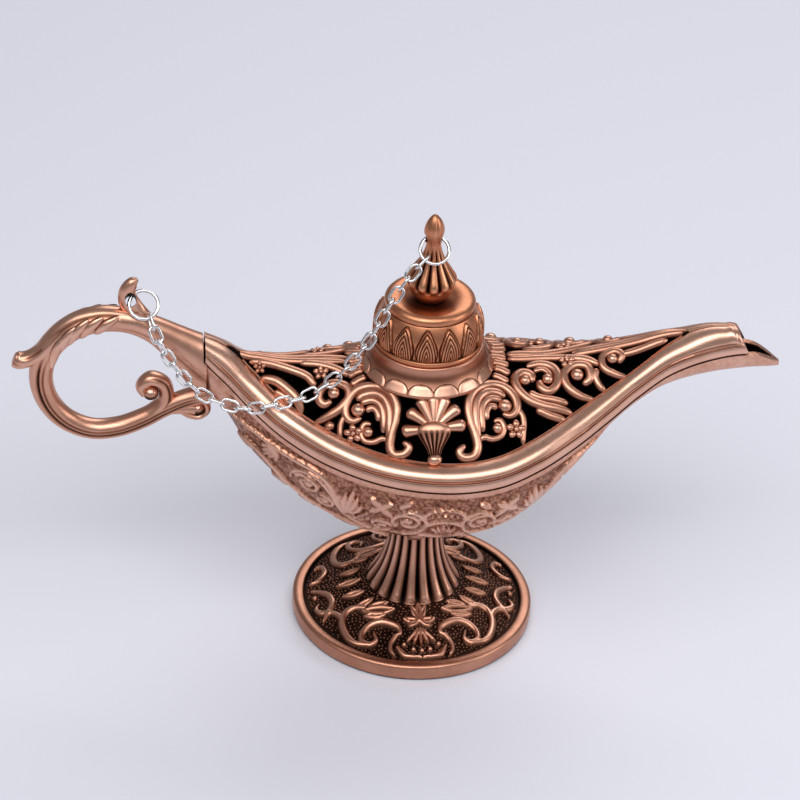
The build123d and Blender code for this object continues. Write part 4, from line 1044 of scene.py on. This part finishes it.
def deck_strand(shape, places, width):
    """A rounded strand of the scrollwork with tapered ends, cut off at the deck's edge."""
    path = smooth_points(places, 6 * len(places))
    path = path[np.abs(path[:, 1]) < opening_half_width(path[:, 0]) + DECK_INSET]
    if len(path) < 4:
        return
    points, up, side = deck_frame(path)
    share = np.linspace(0, 1, len(points))
    near_end = np.minimum(1, 5 * np.minimum(share, 1 - share))
    half = width * STRAND_FULLNESS / 2 * (0.4 + 0.6 * np.sqrt(1 - (1 - near_end) ** 2))[:, None]
    turn = around(12)
    high = np.where(np.sin(turn) > 0, 1.0, 1.7) * np.sin(turn)
    # Painted shade: each strand is bright on top and dark underneath.
    tone = 0.06 + 0.84 * ease(np.sin(turn), -0.15, 0.9)
    shape.tube(points - up * 0.5, side, up, half * np.cos(turn), half * high, tone)


def on_deck(x, y):
    """A place on the deck and the deck's upward direction there."""
    points, up = deck_frame(np.array([(x - 0.1, y), (x, y), (x + 0.1, y)]))[:2]
    return points[1], up[1]


def flower_mesh(radius):
    """Five rounded petals on a low base, with a small ball in the middle."""
    petal = Shape()
    petal.ball((radius * 0.6, 0, 0.35), (radius * 0.43, radius * 0.36, 0.7), 0.95, segments=12, rings=7)
    heart = Shape()
    heart.ball((0, 0, 0.8), (radius * 0.27, radius * 0.27, 0.65), 1.0, segments=12, rings=7)
    # Painted shade: the low base under the petals is dark.
    heart.ball((0, 0, -0.7), (radius * 0.8, radius * 0.8, 0.9), 0.2, segments=14, rings=7)
    ring = grown(petal.mesh("petal"), RING_OF_PIECES, Count=5, First_Angle=0.3, Copper=SCROLL_COPPER)
    return joined([ring, heart.mesh("heart")], "flower")


def set_on_deck(mesh, x, y):
    """Turns and moves a mesh from the origin to its place on the deck."""
    mesh.transform(from_upright(*on_deck(x, y)))
    return mesh


def add_petals(shape, sign):
    """Seven petals of a shell that widen outwards; sign tells the front from the back."""
    share = np.linspace(0, 1, 20)
    tip = np.sqrt(np.clip(1 - (np.clip(share - 0.8, 0, 1) / 0.2) ** 2, 0.004, 1))
    wide = ((0.8 + 1.0 * np.minimum(share / 0.8, 1)) * tip)[:, None]
    turn = around(16)
    # Painted shade: each petal is bright on top and dark underneath.
    tone = 0.10 + 0.85 * ease(np.sin(turn), -0.1, 0.9)
    for angle, length in zip(PETAL_TURNS, PETAL_LENGTHS):
        a = math.radians(angle)
        reach = np.linspace(1.2, length, len(share))
        path = np.stack([reach * np.sin(a), sign * (-21.6 + reach * np.cos(a))], 1)
        points, up, side = deck_frame(path)
        shape.tube(points + up * 0.2, side, up, wide * np.cos(turn), 0.85 * wide * np.sin(turn), tone)


def add_vase(shape, sign):
    """Fluted vase that the petals rise from, with a ball under it."""
    rows = np.linspace(0, 1, 26)
    points, up, side = deck_frame(np.stack([0 * rows, sign * (-20.1 - 5.2 * rows)], 1))
    wide = VASE_HALF_WIDTH * np.sqrt(np.clip(1 - ((rows - 0.3) / 0.3) ** 2, 0.01, 1))
    wide = np.where(rows >= 0.3, VASE_HALF_WIDTH - 2.9 * ease(rows, 0.26, 1.05), wide)[:, None]
    across = np.linspace(-1, 1, 43)
    dome = np.sqrt(np.clip(1 - across ** 2, 0, 1))
    furrow = ease(rows, 0.3, 0.42)[:, None] * (0.5 - 0.5 * np.cos(across * math.pi * 6))
    lift = dome * 1.9 * np.sqrt(np.clip(wide / VASE_HALF_WIDTH, 0, 1)) - 0.45 * furrow * dome
    tone = 0.9 - 0.75 * furrow
    section = np.concatenate([wide * across, 0.9 * wide * across[::-1]], 1)
    height = np.concatenate([lift + 0.5, 0 * lift - 1.2], 1)
    # Painted shade: the vase's underside is black.
    shape.tube(points, side, up, section, height, np.concatenate([tone, 0 * tone], 1))
    place, lifted = on_deck(0.0, sign * -26.0)
    shape.ball(place + lifted * 0.7, (2.0, 1.5, 1.5), 1.0, lifted)


def make_scrollwork():
    """Strands, balls, shells and flowers of the pierced cover."""
    shape = Shape()
    flowers = []
    for sign in (1.0, -1.0):
        for places, width in SHELL_SCROLLS:
            deck_strand(shape, np.array(places) * (1, sign), width)
            deck_strand(shape, np.array(places) * (-1, LEFT_SHELL_SQUEEZE * sign), width)
        for places, width in SPOUT_SCROLLS + HANDLE_SCROLLS:
            deck_strand(shape, np.array(places) * (1, sign), width * END_SCROLL_FULLNESS)
        for (x, y), radius in SCROLL_BALLS:
            place, up = on_deck(x, sign * y)
            shape.ball(place + up * 0.2, (radius, radius, radius * 0.9), 1.0, up)
        for (x, y), radius in SCROLL_FLOWERS:
            flowers.append(set_on_deck(flower_mesh(radius), x, sign * y))
        add_petals(shape, sign)
        add_vase(shape, sign)
    return finish_piece(
        joined([shape.mesh("strands")] + flowers, "pierced_scrolls"),
        "pierced_scrolls", "lamp", SCROLL_COPPER, "antique_copper", "pierced_cover",
    )


def make_collar(shape):
    """Ring under the lid, turned: a flange, a hollow and a bright top band."""
    lip = COLLAR_BOTTOM_Z + 1.9
    outline = [(COLLAR_BORE, COLLAR_BOTTOM_Z), (16.6, COLLAR_BOTTOM_Z), (17.2, COLLAR_BOTTOM_Z + 0.25)]
    outline += [(COLLAR_RADIUS, COLLAR_BOTTOM_Z + 0.8), (17.35, lip - 0.5), (17.1, lip)]
    outline += smooth_points([
        (17.0, lip + 0.1), (16.0, lip + 1.5), (15.1, lip + 3.0), (14.75, lip + 4.4),
        (COLLAR_TOP_RADIUS, lip + 5.7),
    ], 20).tolist()
    outline += [(14.55, COLLAR_TOP_Z - 0.12), (14.2, COLLAR_TOP_Z), (COLLAR_BORE, COLLAR_TOP_Z)]
    outline += [(COLLAR_BORE, COLLAR_BOTTOM_Z)]

    def painted_collar_shade(turn, r, z):
        # Painted shade: a darker band on the hollow behind the scallops, and a dark underside and bore.
        relief = np.full(r.shape, 0.70) - 0.30 * bell(z, lip + 3.2, 1.0)
        relief[:3] = 0.2
        relief[-1] = 0.1
        return r, z, relief

    shape.lathe(outline, 160, offset=painted_collar_shade)


def collar_scallops():
    """Row of rounded scallops lying against the collar's slope."""
    plate = Shape()
    across = np.linspace(-1, 1, 25)[None]
    up = np.linspace(0, 1, 13)[:, None]
    part = across * np.sqrt(np.clip(1 - up ** 2, 0, 1))
    turn = part * math.pi / SCALLOPS * 1.05
    height = COLLAR_BOTTOM_Z + 1.75 + SCALLOP_HEIGHT * up
    slope = through([(0.0, 17.1), (1.5, 16.0), (3.0, 15.1), (4.4, 14.75)], SCALLOP_HEIGHT * up + 0 * across)
    edge = np.maximum(np.abs(across) ** 12, up ** 8)
    radius = slope + 0.5 * (1 - edge) + 0.1
    # Painted shade: the back against the collar is black and the edges are darker than the face.
    tone = 0.86 - 0.76 * np.maximum(np.abs(across) ** 22, up ** 14)
    front = ring_points(radius, turn, height)
    back = ring_points(slope - 0.8, turn, height)[:, ::-1]
    tones = np.concatenate([tone, 0 * tone], 1)
    plate.grid(np.concatenate([front, back], 1), tones, close_columns=True, cap_ends=True)
    return grown(
        plate.mesh("scallop"), RING_OF_PIECES,
        Count=SCALLOPS, First_Angle=math.pi / SCALLOPS, Copper=SMOOTH_COPPER,
    )


def make_cover():
    rim = make_rim()
    make_collar(rim)
    make_scrollwork()
    return finish_piece(
        joined([rim.mesh("rim"), collar_scallops()], "moulded_rim"),
        "moulded_rim", "lamp", SMOOTH_COPPER, "antique_copper", "pierced_cover",
    )


make_cover()


# Lid and finial
def make_lid():
    base, top = COLLAR_TOP_Z, COLLAR_TOP_Z + LID_HEIGHT
    low, high = base + 1.7, top - 2.7
    plug = [(10.1, 88.8), (10.1, base - 4.5), (11.5, base - 4.5), (11.5, base + 0.02)]
    bead = [
        (13.9, base + 0.02), (14.2, base + 0.25), (LID_RADIUS, base + 0.7), (14.2, base + 1.15),
        (13.8, base + 1.45), (13.6, low - 0.1),
    ]
    curve = np.array([(13.6, low), (LID_RADIUS, base + 4.7), (13.45, top - 5.4), (11.7, high)])
    dome = bezier(np.linspace(0, 1, 84)[:, None], *curve).tolist()
    shoulder = [
        (11.55, high + 0.12), (11.72, high + 0.5), (11.78, high + 1.1), (11.6, high + 1.7),
        (11.1, high + 2.3), (10.3, high + 2.62), (9.6, top), (8.6, top - 0.08), (6.6, top - 0.35),
        (4.4, top - 0.95), (2.15, top - 1.0),
    ]
    inside = [(2.15, top - 2.8), (8.5, top - 2.8), (10.6, top - 5.5), (11.6, base + 4.6), (10.1, 88.8)]
    outline = plug + bead + dome + shoulder + inside
    first, last = len(plug) + len(bead), len(plug) + len(bead) + len(dome)

    def petals(turn, r, z):
        relief = np.full(r.shape, 0.82)
        # Painted shade: the plug inside the collar and the lid's inside are dark.
        relief[:len(plug)] = 0.15
        relief[len(plug) + len(bead) - 2:first + 1] = 0.12
        relief[last:last + 1] = 0.1
        relief[last + 8:] = 0.42
        relief[last + len(shoulder) - 1:] = 0.1
        zone = slice(first, last)
        part = ((turn[zone] - 0.075) * LID_PETALS / (2 * math.pi) + 0.5) % 1.0 * 2 - 1
        part = part / 0.88
        up = (z[zone] - low) / (high - low) / 0.93
        belly = 0.86 + 0.14 * np.sin(math.pi * np.clip(up / 0.7, 0, 1))
        edge = belly * np.clip(1 - np.clip(up, 0, 1) ** 3.0, 0, 1) ** 0.78
        inside_leaf = ease(edge - np.abs(part), -0.03, 0.05) * (up < 1.0)
        outline_dark = bell(np.abs(part) - edge, 0.07, 0.07) * (up < 1.02) * (np.abs(part) < 1.15)
        nested = (np.abs(part) ** 1.25 + np.clip(up, 0, 1) ** 2.3) ** 0.56
        veins = 0.5 + 0.5 * np.cos(2 * math.pi * 5.0 * nested)
        hull = np.sqrt(np.clip(1 - (part / np.maximum(edge, 0.05)) ** 2, 0, 1))
        r[zone] += inside_leaf * (0.12 + 0.32 * hull + 0.22 * veins) - 0.22 * outline_dark
        flat = 0.80 - 0.55 * outline_dark
        relief[zone] = flat + inside_leaf * (0.22 + 0.78 * veins - flat)
        return r, z, relief

    shape = Shape()
    shape.lathe(outline, 700, offset=petals)
    return shape.piece("petalled_lid", "lid", LID_COPPER, "antique_copper", "lid_dome")


make_lid()


def make_finial():
    foot, tip = FINIAL_Z, FINIAL_Z + FINIAL_HEIGHT
    tenon = [(0.0, 94.6), (1.9, 94.6), (2.0, 94.8), (2.0, foot + 0.02), (3.4, foot + 0.02)]
    bulb = smooth_points(
        [(3.6, foot + 0.15), (3.9, foot + 0.6), (4.6, foot + 1.3), (5.4, foot + 2.5), (5.75, foot + 3.9)], 16
    )
    spire = smooth_points([
        (5.85, foot + 4.2), (6.2, foot + 5.8), (6.0, foot + 7.0), (4.7, foot + 9.2), (3.4, foot + 11.4),
        (2.45, foot + 13.6), (2.05, foot + 15.4), (1.95, foot + 16.6),
    ], 60)
    bud = smooth_points([
        (1.97, foot + 16.8), (2.05, foot + 17.6), (2.3, foot + 18.8), (2.5, foot + 20.1), (2.4, foot + 21.4),
        (1.85, foot + 23.0), (1.0, foot + 24.4), (0.0, tip),
    ], 40)
    outline = tenon + bulb.tolist() + spire.tolist() + bud.tolist()
    first = len(tenon) + len(bulb)
    last = first + len(spire)

    def flutes(turn, r, z):
        relief = np.full(r.shape, 0.86)
        # Painted shade: the tenon and the neck at the bulb's foot are dark.
        relief[:len(tenon) + 2] = 0.12
        zone = slice(first, last)
        wave = np.abs(np.cos(turn[zone] * FINIAL_FLUTES / 2))
        lobe = 1 - (1 - wave) ** 1.6
        strength = ease(z[zone], foot + 4.2, foot + 5.6) * (1 - ease(z[zone], foot + 13.5, foot + 16.4))
        r[zone] += (lobe - 0.75) * 1.25 * strength * r[zone] / 5.8
        # Painted highlight and shade: bright flute crests and dark valleys.
        relief[zone] = 0.86 + strength * (0.18 + 0.78 * lobe ** 2.0 - 0.86)
        zone = slice(last, None)
        keel = bell(np.sin(turn[zone] * 2), 0.0, 0.16)
        r[zone] += 0.12 * keel * (1 - ease(z[zone], tip - 2.0, tip))
        relief[zone] = 0.80 + 0.15 * keel
        return r, z, relief

    shape = Shape()
    shape.lathe(outline, 240, offset=flutes)
    blank = shape.mesh("finial_blank")
    outward(blank)
    mesh = drilled(blank, (0, 0, FINIAL_EYE_Z), (1, 0, 0), FINIAL_EYE_RADIUS)
    return finish_piece(mesh, "fluted_finial", "lid", LID_COPPER, "antique_copper", "finial")


make_finial()


# Handle
def strand(shape, sections, rows, columns, carve=None):
    """Swept strand in the middle plane; carve gives its swelling and relief along and around it."""
    path = smooth_points(sections, rows)
    x, z, high, wide = path.T
    along = unit(np.gradient(path[:, :2], axis=0))
    turn = around(columns)[None]
    swell, relief = 1.0, 0.84
    if carve:
        swell, relief = carve(np.linspace(0, 1, rows)[:, None], turn)
    middle = np.stack([x, 0 * x, z], 1)
    across = np.broadcast_to((0.0, 1.0, 0.0), middle.shape)
    up = np.stack([-along[:, 1], 0 * x, along[:, 0]], 1)
    wide = wide[:, None] * np.cos(turn) * swell
    high = high[:, None] * np.sin(turn) * swell
    shape.tube(middle, across, up, wide, high, relief)


def carve_loop(share, turn):
    """Two grooves along both faces part the lower loop into strands; the upper arm keeps a facet line."""
    face = np.sin(turn)
    lower = ease(share, 0.46, 0.52) * (1 - ease(share, 0.93, 0.99))
    groove = bell(face, -0.30, 0.13) * lower
    second = bell(face, 0.12, 0.10) * lower
    facet = (1 - ease(share, 0.26, 0.34)) * bell(face, 0.30, 0.08)
    swell = 1 - 0.20 * groove - 0.10 * second - 0.05 * facet
    relief = 0.84 - 0.80 * groove - 0.55 * second - 0.35 * facet
    return swell, relief


def carve_leaf(share, turn):
    """Acanthus leaf over the loop: a ridge along its top, dark lines under the ridge and towards its end."""
    face = np.sin(turn)
    ridge = bell(face, -0.62, 0.12) * (1 - ease(share, 0.6, 0.8))
    under = bell(face, 0.62, 0.10) * (1 - ease(share, 0.6, 0.75))
    end = ease(share, 0.72, 0.92)
    fold = bell(face, 0.15, 0.14) * end
    swell = 1.0 - 0.07 * ridge - 0.05 * under - 0.10 * fold
    relief = 0.86 - 0.50 * ridge - 0.45 * under - 0.40 * fold
    return swell, np.clip(relief, 0.05, 1)


def add_lobes(shape):
    """Slanting lobes of the leaf, raised from both faces of the loop."""
    lines = [smooth_points(LOOP, 400), smooth_points(LEAF, 300)]
    share = np.linspace(0, 1, 22)
    bow = 0.5 * np.sin(math.pi * share)
    half = 1.3 * np.sqrt(np.clip(np.sin(math.pi * (0.06 + 0.88 * share)), 0, 1))[:, None]
    turn = around(14)
    # Painted shade: each lobe is bright on its outer face and dark where it faces the loop.
    tone = 0.08 + 0.84 * ease(np.sin(turn), -0.1, 0.6)
    for root, tip in LOBES:
        x = root[0] + (tip[0] - root[0]) * share - bow
        z = root[1] + (tip[1] - root[1]) * share + bow
        depth = 0 * share
        for line in lines:
            gaps = np.hypot(x[:, None] - line[:, 0], z[:, None] - line[:, 1])
            nearest = gaps.argmin(1)
            inside = np.clip(gaps.min(1) / line[nearest, 2], 0, 0.97)
            depth = np.maximum(depth, line[nearest, 3] * np.sqrt(1 - inside ** 2))
        along = unit(np.gradient(np.stack([x, z], 1), axis=0))
        side = np.stack([-along[:, 1], 0 * x, along[:, 0]], 1)
        for sign in (-1.0, 1.0):
            out = np.broadcast_to((0.0, sign, 0.0), side.shape)
            middle = np.stack([x, sign * depth, z], 1)
            shape.tube(middle, side, out, half * np.cos(turn), 0.8 * half * np.sin(turn), tone)


def carve_curl(share, turn):
    face = np.sin(turn)
    groove = bell(face, -0.45, 0.16) * (1 - ease(share, 0.55, 0.75))
    return 1 - 0.12 * groove, 0.85 - 0.6 * groove


def make_handle():
    loop = Shape()
    strand(loop, [(-52.5, 78.2, 7.2, 5.3)] + LOOP[:-1] + [(-55.6, 71.4, 2.6, 2.6)], 320, 64, carve_loop)
    points = loop.points[0]
    upper = (points[:, 2] > 73.0) & (points[:, 0] > -64.0)
    behind = np.where(points[:, 2] > SEAM_Z + SEAM_RISE, BACK_X - HANDLE_SLIT, BACK_X + 0.3)
    points[:, 0] = np.where(upper, np.minimum(points[:, 0], behind), points[:, 0])
    others = Shape()
    strand(others, LEAF, 170, 64, carve_leaf)
    add_lobes(others)
    strand(others, CURL, 110, 48, carve_curl)
    strand(others, BUD_STRAND, 40, 40)
    strand(others, BUD_SCROLL, 60, 36)
    others.ball((-71.2, 0, 72.0), (2.15, 2.6, 2.1), 0.95, (0, 0, 1), 28, 18)
    others.ball((-58.9, 0, 66.9), (1.7, 2.3, 1.7), 0.95, (0, 0, 1), 28, 18)
    horn = Shape()
    strand(horn, HOOK, 70, 44)
    tilt = math.radians(HANDLE_EYE_TILT)
    axis = (0, -math.sin(tilt), math.cos(tilt))
    hook = drilled(horn.mesh("hook_blank"), HANDLE_EYE, axis, HANDLE_EYE_RADIUS)
    return finish_piece(
        joined([loop.mesh("loop"), others.mesh("strands"), hook], "scroll_handle"),
        "scroll_handle", "lamp", SMOOTH_COPPER, "antique_copper", "handle",
    )


make_handle()

# Chain, rings and fasteners keep their solids and get their finish here
for name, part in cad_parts.items():
    wire = name.startswith("chain_link") or name.endswith("_ring")
    if wire or name in ("foot_screw", "foot_washer", "finial_nut"):
        part.data.materials.clear()
        part.data.materials.append(NICKEL if wire else STEEL)


# Floor, light and camera
def make_floor():
    """Plain pale floor, just under the foot."""
    mesh = bpy.data.meshes.new("floor")
    corners = [(x, y, -0.0002) for x, y in ((-4, -3), (4, -3), (4, 5), (-4, 5))]
    mesh.from_pydata(corners, [], [(0, 1, 2, 3)])
    floor = placed("floor", mesh)
    material = bpy.data.materials.new("pale_floor")
    material.use_nodes = True
    shader = material.node_tree.nodes["Principled BSDF"]
    shader.inputs["Base Color"].default_value = (0.77, 0.78, 0.87, 1)
    shader.inputs["Roughness"].default_value = 0.55
    mesh.materials.append(material)


def soft_light(name, place, aim, size, power, colour=(1, 1, 1)):
    light = bpy.data.lights.new(name, "AREA")
    light.shape = "RECTANGLE"
    light.size, light.size_y = size
    light.energy = power
    light.color = colour
    softbox = placed(name, light)
    softbox.location = place
    softbox.rotation_euler = (Vector(aim) - Vector(place)).to_track_quat("-Z", "Y").to_euler()


make_floor()
soft_light("key_softbox", (-0.55, -0.5, 0.95), (0, 0, 0.06), (0.8, 0.6), 3.6, (1.0, 0.99, 0.98))
soft_light("front_softbox", (0.05, -0.85, 1.15), (0, 0, 0.06), (1.3, 0.7), 9.0)
soft_light("back_softbox", (0.35, 0.75, 0.85), (0, 0, 0.07), (1.0, 0.5), 3.8)
soft_light("side_fill", (0.95, -0.35, 0.45), (0, 0, 0.06), (0.5, 0.6), 2.6)

world = bpy.data.worlds.new("studio")
bpy.context.scene.world = world
world.use_nodes = True
world.node_tree.nodes["Background"].inputs["Color"].default_value = (0.62, 0.62, 0.64, 1)
world.node_tree.nodes["Background"].inputs["Strength"].default_value = 0.40

camera_data = bpy.data.cameras.new("camera")
camera_data.sensor_width = 36.0
camera_data.lens = 166.653
camera = placed("camera", camera_data)
camera.location = (-0.111501, -0.785941, 0.616667)
camera.rotation_euler = tuple(math.radians(a) for a in (55.2681, -2.7298, -5.7343))
bpy.context.scene.camera = camera
bpy.context.scene.view_settings.view_transform = "Standard"
